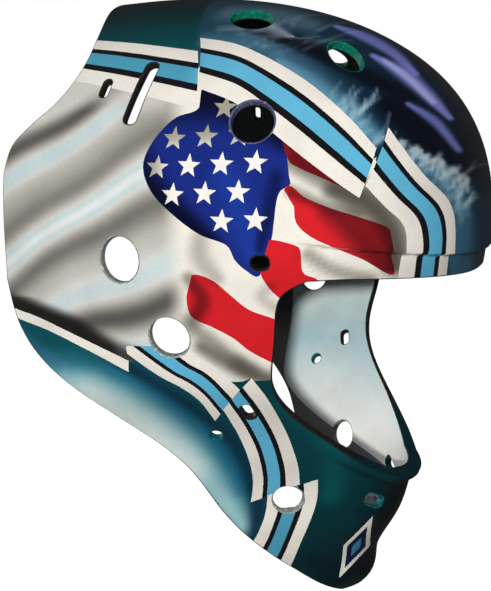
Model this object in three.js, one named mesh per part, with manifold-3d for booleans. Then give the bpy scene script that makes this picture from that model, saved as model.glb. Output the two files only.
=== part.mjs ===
// Ice hockey goalie mask: a bare moulded shell with its pull-off padding set.
// Millimetres. +X is the wearer's left, -Y is where the face looks, +Z is up.
// The origin is the middle of the wearer's head, level with the ears.
import * as THREE from 'three';
import Module from 'manifold-3d';
import { mergeVertices } from 'three/addons/utils/BufferGeometryUtils.js';

const wasm = await Module();
wasm.setup();

// ---------------------------------------------------------------- shell form
const WALL = 4;
const BROW_STEP = 3;
const REAR_DEPTH = 165;
const REAR_POWER = 2.6;

// The shell below the temples, as level sections from the chin up. Each one is
// a superellipse: where its front is, its half width, its power and how far
// back it is widest.
const SECTIONS = [
  { z: -196, front: -6, half: 20, power: 2.0, widest: 57 },
  { z: -180, front: -35, half: 42, power: 2.1, widest: 60 },
  { z: -160, front: -42, half: 58, power: 2.1, widest: 66 },
  { z: -140, front: -54, half: 70, power: 2.0, widest: 71 },
  { z: -115, front: -63, half: 80, power: 1.85, widest: 72 },
  { z: -85, front: -81, half: 90.5, power: 2.0, widest: 62 },
  { z: -55, front: -89, half: 109.5, power: 2.1, widest: 51 },
  { z: -25, front: -98, half: 116, power: 2.3, widest: 39 },
  { z: 5, front: -102, half: 118, power: 2.7, widest: 24 },
];
// Above the last section the shell closes as a dome over a pole.
const DOME = { top: 125.6, pole: 90, frontPower: 2.6, sidePower: 2.3 };

// Side-view outlines, as [y, z] points that a smooth curve runs through.
const LOBE_BACK = 100;
const REAR_TRIM = [
  [73, 124], [65, 108], [63, 94], [66, 82], [74, 71], [86, 62], [96, 53], [LOBE_BACK, 41],
];
const JAW_TRIM = [
  [LOBE_BACK, -6], [94, -28], [82, -46], [56, -71], [31, -97], [17, -126], [-2, -153], [-26, -181],
];
const FACE_TOP = { front: [-140, -18.5], back: [-40, -9.5] };
const FACE_BACK = [[-40, -9.5], [-29, -16], [-24, -36], [-20, -57], [-25, -74], [-42, -96]];
const FACE_FLOOR = [[-57, -114], [-68, -119], [-140, -119]];
// The brow band under this line is set in by BROW_STEP.
const RIDGE = { back: [-36, 7.5], front: [-140, -12.5], foot: -60 };

// Openings through the side walls, the same on both sides. y and z say where
// the middle is, turn is how far the long way leans from level, in degrees.
const OPENINGS = [
  { y: -19.3, z: 56.7, long: 18, short: 18, turn: 0 },
  { y: 39.1, z: 2.3, long: 19.5, short: 17.5, turn: 80 },
  { y: 19.7, z: -31.5, long: 18, short: 17, turn: 45 },
  { y: -12.1, z: -119.4, long: 15.5, short: 14, turn: 40 },
  { y: -8.2, z: 103.1, long: 20.5, short: 18, turn: 64 },
  { y: -50.8, z: 83.3, long: 19.5, short: 14, turn: 87 },
  { y: 11.5, z: -81.3, long: 5.6, short: 5.6, turn: 0 },
  { y: -22.5, z: -0.3, long: 7.2, short: 5.4, turn: 0, slot: true },
  { y: -6.1, z: -68.6, long: 9.5, short: 4.6, turn: 68, slot: true },
  { y: -47.1, z: -127.2, long: 12, short: 5.6, turn: 28, slot: true },
  { y: 49, z: 75.2, long: 8.4, short: 3.6, turn: 100, slot: true },
  { y: 31.7, z: 71.9, long: 30, short: 5.6, turn: 104, slot: true },
];

// ------------------------------------------------------------------- padding
// Gaps from the shell's outer skin inwards: hook patch, loop backing, foam.
const CLEAR = 0.3;
const TAPE = 1.2;
const SIDE_FOAM = 12;
const SIDE_PADS = [
  { name: 'temple', y: 8, z: 18, wide: 28, tall: 58, foam: SIDE_FOAM },
  { name: 'ear', y: 73, z: 12, wide: 34, tall: 58, foam: SIDE_FOAM },
  { name: 'cheek', y: 62, z: -33, wide: 28, tall: 20, foam: SIDE_FOAM },
  { name: 'jaw', y: -9, z: -140, wide: 22, tall: 15, foam: 8 },
];
const MIDDLE_PADS = [
  { name: 'forehead', at: [0, -100, 28], out: [0, -1, 0], wide: 130, tall: 36, foam: 12, inset: 0 },
  { name: 'brow', at: [0, -100, -4], out: [0, -1, 0], wide: 140, tall: 13, foam: 5, inset: BROW_STEP },
  { name: 'crown', at: [0, 28, 120], out: [0, 0, 1], wide: 76, tall: 66, foam: 12, inset: 0 },
  { name: 'chin', at: [0, -55, -152], out: [0, -1, 0], wide: 40, tall: 24, foam: 8, inset: 0 },
];
const PAD_CORNER = 0.3;
const TAPE_SHARE = 0.7;

// ----------------------------------------------------------------- materials
const finish = (color, roughness) => new THREE.MeshStandardMaterial({ color, roughness, metalness: 0 });
const PAINT = finish(0x2f6fa8, 0.25);
const FOAM = finish(0x3a3c40, 0.9);
const HOOK = finish(0x151517, 0.8);
const LOOP = finish(0x26272b, 1);
const TOWEL = finish(0xcfd2d6, 1);

// ------------------------------------------------------------ surface of form
// A smooth value at height z through one column of SECTIONS.
function along(key, z) {
  const last = SECTIONS.length - 1;
  let i = 0;
  while (i < last - 1 && z > SECTIONS[i + 1].z) {
    i += 1;
  }
  const rise = (k) => (SECTIONS[k + 1][key] - SECTIONS[k][key]) / (SECTIONS[k + 1].z - SECTIONS[k].z);
  const slope = (k) => {
    if (k === last) {
      return 0;
    }
    return k === 0 ? rise(0) : (rise(k - 1) + rise(k)) / 2;
  };
  const a = SECTIONS[i];
  const b = SECTIONS[i + 1];
  const step = b.z - a.z;
  const t = THREE.MathUtils.clamp((z - a.z) / step, 0, 1);
  const t2 = t * t;
  const t3 = t2 * t;
  return a[key] * (2 * t3 - 3 * t2 + 1) + b[key] * (3 * t2 - 2 * t3)
    + step * (slope(i) * (t3 - 2 * t2 + t) + slope(i + 1) * (t3 - t2));
}

// The level section at height z, below or inside the dome.
function section(z) {
  const top = SECTIONS[SECTIONS.length - 1];
  if (z <= top.z) {
    return {
      front: along('front', z),
      half: along('half', z),
      power: along('power', z),
      widest: along('widest', z),
      rear: REAR_DEPTH,
    };
  }
  const rise = Math.min((z - top.z) / (DOME.top - top.z), 1);
  const lengthways = (1 - rise ** DOME.frontPower) ** (1 / DOME.frontPower);
  const sideways = (1 - rise ** DOME.sidePower) ** (1 / DOME.sidePower);
  return {
    front: DOME.pole - (DOME.pole - top.front) * lengthways,
    half: top.half * sideways,
    power: top.power,
    widest: DOME.pole - (DOME.pole - top.widest) * lengthways,
    rear: REAR_DEPTH * lengthways,
  };
}

// A point of the outer skin at height z and angle turn, from the front round.
function skinPoint(z, turn) {
  const s = section(z);
  const sin = Math.sin(turn);
  const cos = Math.cos(turn);
  const power = cos > 0 ? s.power : REAR_POWER;
  const depth = cos > 0 ? s.front - s.widest : s.rear;
  const x = s.half * Math.sign(sin) * Math.abs(sin) ** (2 / power);
  const y = s.widest + depth * Math.abs(cos) ** (2 / power);
  return new THREE.Vector3(x, y, z);
}

// How far the outer skin stands from the middle plane at (y, z).
function halfWidth(y, z) {
  const s = section(z);
  const ahead = y < s.widest;
  const power = ahead ? s.power : REAR_POWER;
  const share = ahead ? (s.widest - y) / (s.widest - s.front) : (y - s.widest) / s.rear;
  return s.half * (1 - Math.min(share, 1) ** power) ** (1 / power);
}

// Where (y, z) lies on one side wall, and the way the wall faces there.
function wallFrame(y, z, side) {
  const h = 0.5;
  const slopeY = (halfWidth(y + h, z) - halfWidth(y - h, z)) / (2 * h);
  const slopeZ = (halfWidth(y, z + h) - halfWidth(y, z - h)) / (2 * h);
  return {
    at: new THREE.Vector3(side * halfWidth(y, z), y, z),
    out: new THREE.Vector3(side, -slopeY, -slopeZ).normalize(),
  };
}

// -------------------------------------------------------------- solid helpers
const CORNER_STEPS = 2;
const ROUND_STEPS = 10;

function toSolid(geometry) {
  geometry.deleteAttribute('normal');
  geometry.deleteAttribute('uv');
  const merged = mergeVertices(geometry, 1e-4);
  return new wasm.Manifold(new wasm.Mesh({
    numProp: 3,
    vertProperties: new Float32Array(merged.attributes.position.array),
    triVerts: new Uint32Array(merged.index.array),
  }));
}

function toMesh(name, solid, material) {
  const { vertProperties, triVerts } = solid.getMesh();
  const geometry = new THREE.BufferGeometry();
  geometry.setAttribute('position', new THREE.BufferAttribute(vertProperties, 3));
  geometry.setIndex(new THREE.BufferAttribute(triVerts, 1));
  geometry.computeVertexNormals();
  const mesh = new THREE.Mesh(geometry, material);
  mesh.name = name;
  return mesh;
}

// The share of a form's levels that are below the dome, and how the dome's
// levels crowd towards its top.
const LOWER_SHARE = 0.6;
const DOME_CROWDING = 0.85;

// The closed form, drawn in from the outer skin by inset. levels and columns
// say how fine it is.
function form(inset, levels, columns) {
  const heights = [];
  const bottom = SECTIONS[0].z;
  const shoulder = SECTIONS[SECTIONS.length - 1].z;
  const lower = Math.round(levels * LOWER_SHARE);
  const upper = levels - lower;
  for (let i = 0; i < lower; i += 1) {
    heights.push(bottom + (shoulder - bottom) * i / lower);
  }
  for (let i = 0; i < upper; i += 1) {
    heights.push(shoulder + (DOME.top - shoulder) * Math.sin(Math.PI / 2 * i / upper) ** DOME_CROWDING);
  }
  const points = [];
  for (const z of heights) {
    for (let k = 0; k < columns; k += 1) {
      points.push(skinPoint(z, 2 * Math.PI * k / columns));
    }
  }
  const foot = points.push(new THREE.Vector3(0, section(bottom).widest, bottom)) - 1;
  const pole = points.push(new THREE.Vector3(0, DOME.pole, DOME.top)) - 1;
  const faces = [];
  for (let k = 0; k < columns; k += 1) {
    const next = (k + 1) % columns;
    faces.push(foot, next, k);
    for (let i = 0; i < heights.length - 1; i += 1) {
      const low = i * columns;
      const high = low + columns;
      faces.push(low + k, low + next, high + next);
      faces.push(low + k, high + next, high + k);
    }
    const rim = (heights.length - 1) * columns;
    faces.push(pole, rim + k, rim + next);
  }
  const geometry = new THREE.BufferGeometry().setFromPoints(points);
  geometry.setIndex(faces);
  geometry.computeVertexNormals();
  const { position, normal } = geometry.attributes;
  for (let i = 0; i < position.count; i += 1) {
    position.setXYZ(
      i,
      position.getX(i) - inset * normal.getX(i),
      position.getY(i) - inset * normal.getY(i),
      position.getZ(i) - inset * normal.getZ(i),
    );
  }
  return toSolid(geometry);
}

// A prism across the mask over a side-view outline.
const SIDE_REACH = 150;
function sidePrism(outline) {
  const reach = SIDE_REACH;
  const geometry = new THREE.ExtrudeGeometry(outline, { depth: 2 * reach, bevelEnabled: false });
  geometry.translate(0, 0, -reach);
  const toSideView = new THREE.Matrix4().makeBasis(
    new THREE.Vector3(0, 1, 0),
    new THREE.Vector3(0, 0, 1),
    new THREE.Vector3(1, 0, 0),
  );
  return toSolid(geometry.applyMatrix4(toSideView));
}

// Carries an outline on along a smooth curve through points.
const STEPS_PER_POINT = 3;
function smooth(outline, points) {
  const curve = new THREE.SplineCurve(points.map(([y, z]) => new THREE.Vector2(y, z)));
  for (const p of curve.getPoints(points.length * STEPS_PER_POINT)) {
    outline.lineTo(p.x, p.y);
  }
}

// A prism along out through at, over a flat outline whose second way is up.
function wallPrism(outline, at, out, turn, inward, outward) {
  const geometry = new THREE.ExtrudeGeometry(outline, {
    depth: inward + outward,
    bevelEnabled: false,
    curveSegments: outline.curves.length > 1 ? CORNER_STEPS : ROUND_STEPS,
  });
  geometry.translate(0, 0, -inward);
  geometry.rotateZ(turn);
  const guide = Math.abs(out.z) > 0.95 ? new THREE.Vector3(0, 1, 0) : new THREE.Vector3(0, 0, 1);
  const level = new THREE.Vector3().crossVectors(guide, out).normalize();
  const up = new THREE.Vector3().crossVectors(out, level);
  geometry.applyMatrix4(new THREE.Matrix4().makeBasis(level, up, out).setPosition(at));
  return toSolid(geometry);
}

function ellipse(long, short) {
  return new THREE.Shape().absellipse(0, 0, long / 2, short / 2, 0, 2 * Math.PI);
}

function roundedBox(wide, tall, radius) {
  const w = wide / 2;
  const h = tall / 2;
  const shape = new THREE.Shape();
  shape.absarc(w - radius, h - radius, radius, 0, Math.PI / 2);
  shape.absarc(radius - w, h - radius, radius, Math.PI / 2, Math.PI);
  shape.absarc(radius - w, radius - h, radius, Math.PI, 1.5 * Math.PI);
  shape.absarc(w - radius, radius - h, radius, 1.5 * Math.PI, 2 * Math.PI);
  return shape;
}

// ----------------------------------------------------------------- the shell
const SHELL_LEVELS = 28;
const SHELL_COLUMNS = 44;
// How far an opening's cut reaches either way from the outer skin.
const HOLE_INWARD = 14;
const HOLE_OUTWARD = 10;
// A slot's corner radius as a share of its short way.
const SLOT_CORNER = 0.42;
// The trim outlines run out to these limits, clear of the form.
const CLEAR_FRONT = -160;
const CLEAR_TOP = 160;

function trimOutline() {
  const outline = new THREE.Shape();
  const [chinBack, chinFoot] = JAW_TRIM[JAW_TRIM.length - 1];
  outline.moveTo(CLEAR_FRONT, CLEAR_TOP);
  outline.lineTo(CLEAR_FRONT, chinFoot);
  outline.lineTo(chinBack, chinFoot);
  smooth(outline, [...JAW_TRIM].reverse());
  smooth(outline, [...REAR_TRIM].reverse());
  outline.lineTo(REAR_TRIM[0][0], CLEAR_TOP);
  return outline;
}

function faceOutline() {
  const outline = new THREE.Shape();
  outline.moveTo(...FACE_TOP.front);
  for (const point of [...FACE_FLOOR].reverse()) {
    outline.lineTo(...point);
  }
  smooth(outline, [...FACE_BACK].reverse());
  return outline;
}

function browOutline() {
  const outline = new THREE.Shape();
  outline.moveTo(...RIDGE.front);
  outline.lineTo(RIDGE.front[0], RIDGE.foot);
  outline.lineTo(RIDGE.back[0], RIDGE.foot);
  outline.lineTo(...RIDGE.back);
  return outline;
}

// The form at one depth with its brow band set further in.
function steppedForm(inset) {
  const full = form(inset, SHELL_LEVELS, SHELL_COLUMNS);
  const drawnIn = form(inset + BROW_STEP, SHELL_LEVELS, SHELL_COLUMNS);
  return full.subtract(sidePrism(browOutline()).subtract(drawnIn));
}

function openingPrism(opening, side) {
  const { at, out } = wallFrame(opening.y, opening.z, side);
  const { long, short } = opening;
  const outline = opening.slot ? roundedBox(long, short, short * SLOT_CORNER) : ellipse(long, short);
  const turn = THREE.MathUtils.degToRad(opening.turn);
  return wallPrism(outline, at, out, side > 0 ? turn : Math.PI - turn, HOLE_INWARD, HOLE_OUTWARD);
}

function shell() {
  let solid = steppedForm(0).subtract(steppedForm(WALL));
  solid = solid.intersect(sidePrism(trimOutline()));
  solid = solid.subtract(sidePrism(faceOutline()));
  for (const opening of OPENINGS) {
    for (const side of [-1, 1]) {
      solid = solid.subtract(openingPrism(opening, side));
    }
  }
  return toMesh('shell', solid, PAINT);
}

// --------------------------------------------------------------- the padding
const layers = new Map();
function layerForm(depth) {
  if (!layers.has(depth)) {
    layers.set(depth, form(depth, SHELL_LEVELS, SHELL_COLUMNS));
  }
  return layers.get(depth);
}

// A slab that follows the wall between two depths, inside a rounded window
// that reaches clear of it both ways.
const PAD_REACH = 20;
function slab(from, thick, pad, share) {
  const wide = pad.wide * share;
  const tall = pad.tall * share;
  const window = roundedBox(wide, tall, PAD_CORNER * Math.min(wide, tall));
  const reach = pad.wide / 2 + PAD_REACH;
  const prism = wallPrism(window, pad.at, pad.out, 0, reach, PAD_REACH);
  return layerForm(from).subtract(layerForm(from + thick)).intersect(prism);
}

// One pad: a hook patch stuck to the shell, and foam with a loop backing.
function padSet(pad) {
  const hookAt = WALL + pad.inset + CLEAR;
  const loopAt = hookAt + TAPE + CLEAR;
  const foamAt = loopAt + TAPE + CLEAR;
  const group = new THREE.Group();
  group.add(
    toMesh(`${pad.name}_hook_patch`, slab(hookAt, TAPE, pad, TAPE_SHARE), HOOK),
    toMesh(`${pad.name}_loop_backing`, slab(loopAt, TAPE, pad, TAPE_SHARE), LOOP),
    toMesh(`${pad.name}_pad`, slab(foamAt, pad.foam, pad, 1), pad.name === 'brow' ? TOWEL : FOAM),
  );
  return group;
}

// ------------------------------------------------------------------ assembly
const mask = new THREE.Group();
mask.add(shell());
for (const pad of MIDDLE_PADS) {
  const at = new THREE.Vector3(...pad.at);
  const out = new THREE.Vector3(...pad.out);
  mask.add(padSet({ ...pad, at, out }));
}
for (const pad of SIDE_PADS) {
  for (const [word, side] of [['right', -1], ['left', 1]]) {
    const { at, out } = wallFrame(pad.y, pad.z, side);
    mask.add(padSet({ ...pad, name: `${pad.name}_${word}`, at, out, inset: 0 }));
  }
}

export default mask;
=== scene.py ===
"""Goalie mask: an airbrushed shell under clear coat, lined with foam pads on hook and loop tape.

Lengths are millimetres in the row frame unless a comment says metres, and become metres where a mesh
is made.
"""
import math

import bpy
import numpy as np
from mathutils import Matrix, Vector
from mathutils.geometry import delaunay_2d_cdt


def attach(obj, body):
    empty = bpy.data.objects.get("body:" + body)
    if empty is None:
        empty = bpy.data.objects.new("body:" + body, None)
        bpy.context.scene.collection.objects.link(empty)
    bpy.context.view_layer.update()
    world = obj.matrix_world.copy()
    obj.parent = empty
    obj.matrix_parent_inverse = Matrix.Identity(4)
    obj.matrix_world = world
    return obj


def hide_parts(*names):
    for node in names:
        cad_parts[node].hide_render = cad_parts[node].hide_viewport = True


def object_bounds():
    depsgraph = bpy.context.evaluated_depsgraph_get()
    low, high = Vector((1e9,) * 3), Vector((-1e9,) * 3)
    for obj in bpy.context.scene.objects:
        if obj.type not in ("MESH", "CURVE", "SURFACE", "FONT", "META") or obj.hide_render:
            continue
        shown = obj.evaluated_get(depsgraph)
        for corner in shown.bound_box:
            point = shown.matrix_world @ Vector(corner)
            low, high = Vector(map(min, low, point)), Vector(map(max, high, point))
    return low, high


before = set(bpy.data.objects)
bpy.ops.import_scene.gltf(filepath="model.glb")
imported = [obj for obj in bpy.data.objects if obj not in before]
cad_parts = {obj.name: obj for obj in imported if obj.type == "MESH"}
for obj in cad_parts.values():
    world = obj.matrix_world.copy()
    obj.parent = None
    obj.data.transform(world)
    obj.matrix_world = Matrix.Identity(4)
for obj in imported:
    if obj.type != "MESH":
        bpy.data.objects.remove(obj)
CAD_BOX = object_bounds()
MM = 0.001

# ------------------------------------------------------------------ shell form
WALL = 4.0
BROW_STEP = 3.0
REAR_DEPTH = 165.0
REAR_POWER = 2.6
Z, FRONT, HALF, POWER, WIDEST = range(5)
SECTIONS = np.array([
    (-196, -6, 20, 2.0, 57),
    (-180, -35, 42, 2.1, 60),
    (-160, -42, 58, 2.1, 66),
    (-140, -54, 70, 2.0, 71),
    (-115, -63, 80, 1.85, 72),
    (-85, -81, 90.5, 2.0, 62),
    (-55, -89, 109.5, 2.1, 51),
    (-25, -98, 116, 2.3, 39),
    (5, -102, 118, 2.7, 24),
], float)
SHOULDER = SECTIONS[-1, Z]
DOME_TOP = 125.6
DOME_RISE = DOME_TOP - SHOULDER
DOME_POLE = 90.0
DOME_FRONT_POWER = 2.6
DOME_SIDE_POWER = 2.3

# Side-view outlines, as (y, z) points.
LOBE_BACK = 100.0
REAR_TRIM = [
    (73, 124), (65, 108), (63, 94), (66, 82), (74, 71), (86, 62), (96, 53), (LOBE_BACK, 41),
]
JAW_TRIM = [
    (LOBE_BACK, -6), (94, -28), (82, -46), (56, -71), (31, -97), (17, -126), (-2, -153), (-26, -181),
]
FACE_TOP = [(-40, -9.5), (-140, -18.5)]
FACE_BACK = [(-40, -9.5), (-29, -16), (-24, -36), (-20, -57), (-25, -74), (-42, -96)]
FACE_FLOOR = [(-42, -96), (-57, -114), (-68, -119), (-140, -119)]
RIDGE = [(-36, 7.5), (-140, -12.5)]

# Openings: y, z, long way, short way, lean in degrees, rim colour.
GREEN_FLAKE = (16, 112, 92)
GREY_RIM = (150, 158, 152)
VIOLET_RIM = (92, 92, 128)
TEAL_RIM = (20, 92, 96)
DARK_RIM = (40, 37, 35)
CHIN_RIM = (8, 46, 54)
ROUND_OPENINGS = [
    (-19.3, 56.7, 18, 18, 0, VIOLET_RIM),
    (39.1, 2.3, 19.5, 17.5, 80, GREY_RIM),
    (19.7, -31.5, 18, 17, 45, GREY_RIM),
    (-12.1, -119.4, 15.5, 14, 40, GREY_RIM),
    (-8.2, 103.1, 20.5, 18, 64, GREEN_FLAKE),
    (-50.8, 83.3, 19.5, 14, 87, GREEN_FLAKE),
    (11.5, -81.3, 5.6, 5.6, 0, TEAL_RIM),
]
SLOTS = [
    (-22.5, -0.3, 7.2, 5.4, 0, DARK_RIM),
    (-6.1, -68.6, 9.5, 4.6, 68, DARK_RIM),
    (-47.1, -127.2, 12, 5.6, 28, TEAL_RIM),
    (49, 75.2, 8.4, 3.6, 100, DARK_RIM),
    (31.7, 71.9, 30, 5.6, 104, DARK_RIM),
]
SLOT_CORNER = 0.42


def smooth(t):
    """0 to 1 with level ends."""
    t = np.clip(t, 0, 1)
    return t * t * (3 - 2 * t)


def unit(v):
    return v / np.linalg.norm(v, axis=-1, keepdims=True)


def along(column, z):
    """A smooth value at height z through one column of SECTIONS."""
    heights, values = SECTIONS[:, Z], SECTIONS[:, column]
    rise = np.diff(values) / np.diff(heights)
    slope = np.r_[rise[0], (rise[:-1] + rise[1:]) / 2, 0.0]
    i = np.clip(np.searchsorted(heights, z) - 1, 0, len(heights) - 2)
    step = heights[i + 1] - heights[i]
    t = np.clip((z - heights[i]) / step, 0, 1)
    ease = t * t * (3 - 2 * t)
    return (
        values[i] * (1 - ease)
        + values[i + 1] * ease
        + step * (slope[i] * t * (1 - t) ** 2 - slope[i + 1] * t * t * (1 - t))
    )


def level_at(z, rise, lengthways):
    """The level section of the form: its front, half width, power, widest and rear."""
    sideways = (1 - np.minimum(rise, 1) ** DOME_SIDE_POWER) ** (1 / DOME_SIDE_POWER)
    low = np.minimum(z, SHOULDER)
    front = DOME_POLE - (DOME_POLE - along(FRONT, low)) * lengthways
    widest = DOME_POLE - (DOME_POLE - along(WIDEST, low)) * lengthways
    return front, along(HALF, low) * sideways, along(POWER, low), widest, REAR_DEPTH * lengthways


def level_of_z(z):
    rise = np.clip((z - SHOULDER) / DOME_RISE, 0, 1)
    lengthways = (1 - rise ** DOME_FRONT_POWER) ** (1 / DOME_FRONT_POWER)
    return level_at(z, rise, lengthways), rise, lengthways


def skin(turn, lift):
    """A point of the plain form. turn goes round from the front, to the left if positive, and lift
    goes up the wall: it is z below the shoulder, and an arc of the dome above it."""
    arc = np.clip((lift - SHOULDER) / DOME_RISE, 0, math.pi / 2)
    norm = (np.sin(arc) ** DOME_FRONT_POWER + np.cos(arc) ** DOME_FRONT_POWER) ** (1 / DOME_FRONT_POWER)
    rise, lengthways = np.sin(arc) / norm, np.cos(arc) / norm
    z = np.minimum(lift, SHOULDER) + DOME_RISE * rise
    front, half, power, widest, rear = level_at(z, rise, lengthways)
    ahead = np.abs(turn) < math.pi / 2
    power = np.where(ahead, power, REAR_POWER)
    across, forth = np.abs(np.sin(turn)), np.abs(np.cos(turn))
    norm = (across ** power + forth ** power) ** (1 / power)
    x = np.sign(turn) * half * across / norm
    y = widest + np.where(ahead, front - widest, rear) * forth / norm
    return np.stack([x, y, z], -1)


def place(yz):
    """Where side-view points lie on the left wall, as turn and lift."""
    y, z = np.asarray(yz, float).T
    (front, _, power, widest, rear), rise, lengthways = level_of_z(z)
    lift = np.where(z <= SHOULDER, z, SHOULDER + DOME_RISE * np.arctan2(rise, lengthways))
    ahead = y < widest
    forward, backward = (widest - y) / (widest - front), (y - widest) / np.maximum(rear, 1)
    share = np.clip(np.where(ahead, forward, backward), 0, 1)
    power = np.where(ahead, power, REAR_POWER)
    across = (1 - share ** power) ** (1 / power)
    turn = np.where(ahead, np.arctan2(across, share), math.pi / 2 + np.arctan2(share, across))
    return np.stack([turn, lift], -1)


def facing(surface, turn, lift):
    """The outward normal of a surface of (turn, lift)."""
    d_turn, d_lift = 1e-3, 0.1
    round_it = surface(turn + d_turn, lift) - surface(turn - d_turn, lift)
    up_it = surface(turn, lift + d_lift) - surface(turn, lift - d_lift)
    return unit(np.cross(round_it, up_it))


# The plane that the shell's sheets are triangulated in: about millimetres both ways.
TURN_MM = 110.0


def to_plane(turn_lift):
    return turn_lift * [TURN_MM, 1.0]


def plane_of(yz):
    return to_plane(place(yz))


# --------------------------------------------------------------- outlines, paths
def spline(points, per=12):
    """A smooth run of points through points."""
    p = np.asarray(points, float)
    out = []
    for i in range(len(p) - 1):
        a, b, c, d = p[max(i - 1, 0)], p[i], p[i + 1], p[min(i + 2, len(p) - 1)]
        for t in np.arange(per) / per:
            out.append(
                b + t * (c - a) / 2
                + t * t * (a - 2.5 * b + 2 * c - d / 2)
                + t ** 3 * (1.5 * (b - c) + (d - a) / 2)
            )
    return np.array(out + [p[-1]])


def spaced(points, gap):
    """The same run with its points about gap apart. Its ends stay."""
    p = np.asarray(points, float)
    run = np.r_[0, np.cumsum(np.linalg.norm(np.diff(p, axis=0), axis=1))]
    n = max(int(round(run[-1] / gap)), 1)
    at = np.linspace(0, run[-1], n + 1)
    return np.stack([np.interp(at, run, p[:, k]) for k in range(p.shape[1])], -1)


MIDDLE_TRIES = 1500


def to_middle(start, end):
    """The side-view line from start towards end, in the plane, up to where it reaches the middle."""
    t = np.linspace(0, 1, MIDDLE_TRIES)[:, None]
    yz = np.asarray(start, float) * (1 - t) + np.asarray(end, float) * t
    turn_lift = place(yz)
    inside = int(np.argmax(turn_lift[:, 0] < 1e-6))
    path = to_plane(turn_lift[: inside + 1])
    path[-1, 0] = 0.0
    return path


RIM_ROUND = 0.8
EDGE_GAP = 1.7


def rim_chain(*paths):
    """One trimmed edge from middle to middle in the plane, drawn in by the rim's rounding."""
    run = np.vstack([p if i == 0 else p[1:] for i, p in enumerate(paths)])
    ahead = unit(np.gradient(run, axis=0))
    run = run + RIM_ROUND * np.stack([-ahead[:, 1], ahead[:, 0]], -1)
    run[[0, -1], 0] = 0.0
    return run


def plane_line(start, end):
    return spaced(plane_of(spaced([start, end], 0.5)), EDGE_GAP)


chin_back, chin_foot = JAW_TRIM[-1]
outer_edge = rim_chain(
    spaced(to_middle((chin_back, chin_foot), (-60, chin_foot))[::-1], EDGE_GAP),
    spaced(plane_of(spline(JAW_TRIM[::-1])), EDGE_GAP),
    plane_line(JAW_TRIM[0], REAR_TRIM[-1]),
    spaced(plane_of(spline(REAR_TRIM[::-1])), EDGE_GAP),
    spaced(to_middle(REAR_TRIM[0], (REAR_TRIM[0][0], DOME_TOP - 0.001)), EDGE_GAP),
)
face_edge = rim_chain(
    spaced(to_middle(*FACE_TOP)[::-1], EDGE_GAP),
    spaced(plane_of(spline(FACE_BACK)), EDGE_GAP),
    plane_line(FACE_FLOOR[0], FACE_FLOOR[1]),
    spaced(to_middle(FACE_FLOOR[1], FACE_FLOOR[2]), EDGE_GAP),
)
MIDDLE_GAP = 2.4
half_outline = np.vstack([
    outer_edge,
    spaced([outer_edge[-1], face_edge[0]], MIDDLE_GAP)[1:-1],
    face_edge,
    spaced([face_edge[-1], outer_edge[0]], MIDDLE_GAP)[1:-1],
])


def wall_frame(y, z):
    """A point of the left wall, with its level, up and outward ways."""
    turn_lift = place([(y, z)])
    at = skin(*turn_lift.T)[0]
    out = facing(skin, *turn_lift.T)[0]
    level = unit(np.cross((0, 0, 1), out))
    return at, level, np.cross(out, level), out


RING_GAP = 1.1
SLOT_STEPS = 40


def ring_outline(opening, slot):
    """An opening's outline in the plane, wider by the rim's rounding."""
    y, z, long, short, lean, _ = opening
    at, level, up, _ = wall_frame(y, z)
    around = np.linspace(0, 2 * math.pi, int(math.pi * long / RING_GAP), endpoint=False)
    c, s = np.cos(around), np.sin(around)
    if slot:
        corner = short * SLOT_CORNER
        box = np.array([long / 2 - corner, short / 2 - corner])
        around = np.linspace(0, 2 * math.pi, SLOT_STEPS, endpoint=False) + math.pi / SLOT_STEPS
        c, s = np.cos(around), np.sin(around)
        flat = box * np.stack([np.sign(c), np.sign(s)], -1) + (corner + RIM_ROUND) * np.stack([c, s], -1)
        flat = spaced(np.vstack([flat, flat[:1]]), RING_GAP)[:-1]
    else:
        flat = np.stack([(long / 2 + RIM_ROUND) * c, (short / 2 + RIM_ROUND) * s], -1)
    lean = math.radians(lean)
    flat = flat @ np.array([[math.cos(lean), math.sin(lean)], [-math.sin(lean), math.cos(lean)]])
    points = at + flat[:, :1] * level + flat[:, 1:] * up
    return plane_of(points[:, 1:])


openings = [ring_outline(o, False) for o in ROUND_OPENINGS] + [ring_outline(o, True) for o in SLOTS]

# ------------------------------------------------------------------- the relief
RIDGE_SOFTNESS = 1.6
RIDGE_FADE = (-30.0, -60.0)
BROW_FOOT = -60.0
BROW_FOOT_FADE = 10.0
LIP_HEIGHT = 3.6
LIP_DEPTH = 9.0
LIP_FADE = (-84.0, -108.0)


def ridge_z(y):
    (y0, z0), (y1, z1) = RIDGE
    return z0 + (y - y0) * (z1 - z0) / (y1 - y0)


def path_gap(yz, path):
    """How far side-view points are from a path, and where along it they are nearest, 0 to 1."""
    a, b = path[:-1], path[1:]
    nearest = np.full(len(yz), np.inf)
    where = np.zeros(len(yz))
    for i, (p, q) in enumerate(zip(a, b)):
        d = q - p
        t = np.clip(((yz - p) @ d) / (d @ d), 0, 1)
        gap = np.linalg.norm(yz - p - t[:, None] * d, axis=1)
        closer = gap < nearest
        nearest = np.where(closer, gap, nearest)
        where = np.where(closer, (i + t) / len(a), where)
    return nearest, where


LIP_PATH = np.array(FACE_BACK[-2:] + FACE_FLOOR[1:3] + [(-90, -119)], float)


def brow_relief(p):
    below = smooth((ridge_z(p[:, 1]) - p[:, 2]) / RIDGE_SOFTNESS + 0.5)
    fade = smooth((p[:, 1] - RIDGE_FADE[0]) / (RIDGE_FADE[1] - RIDGE_FADE[0]))
    above_face = smooth((p[:, 2] - BROW_FOOT) / BROW_FOOT_FADE)
    return -BROW_STEP * below * fade * above_face


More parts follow.
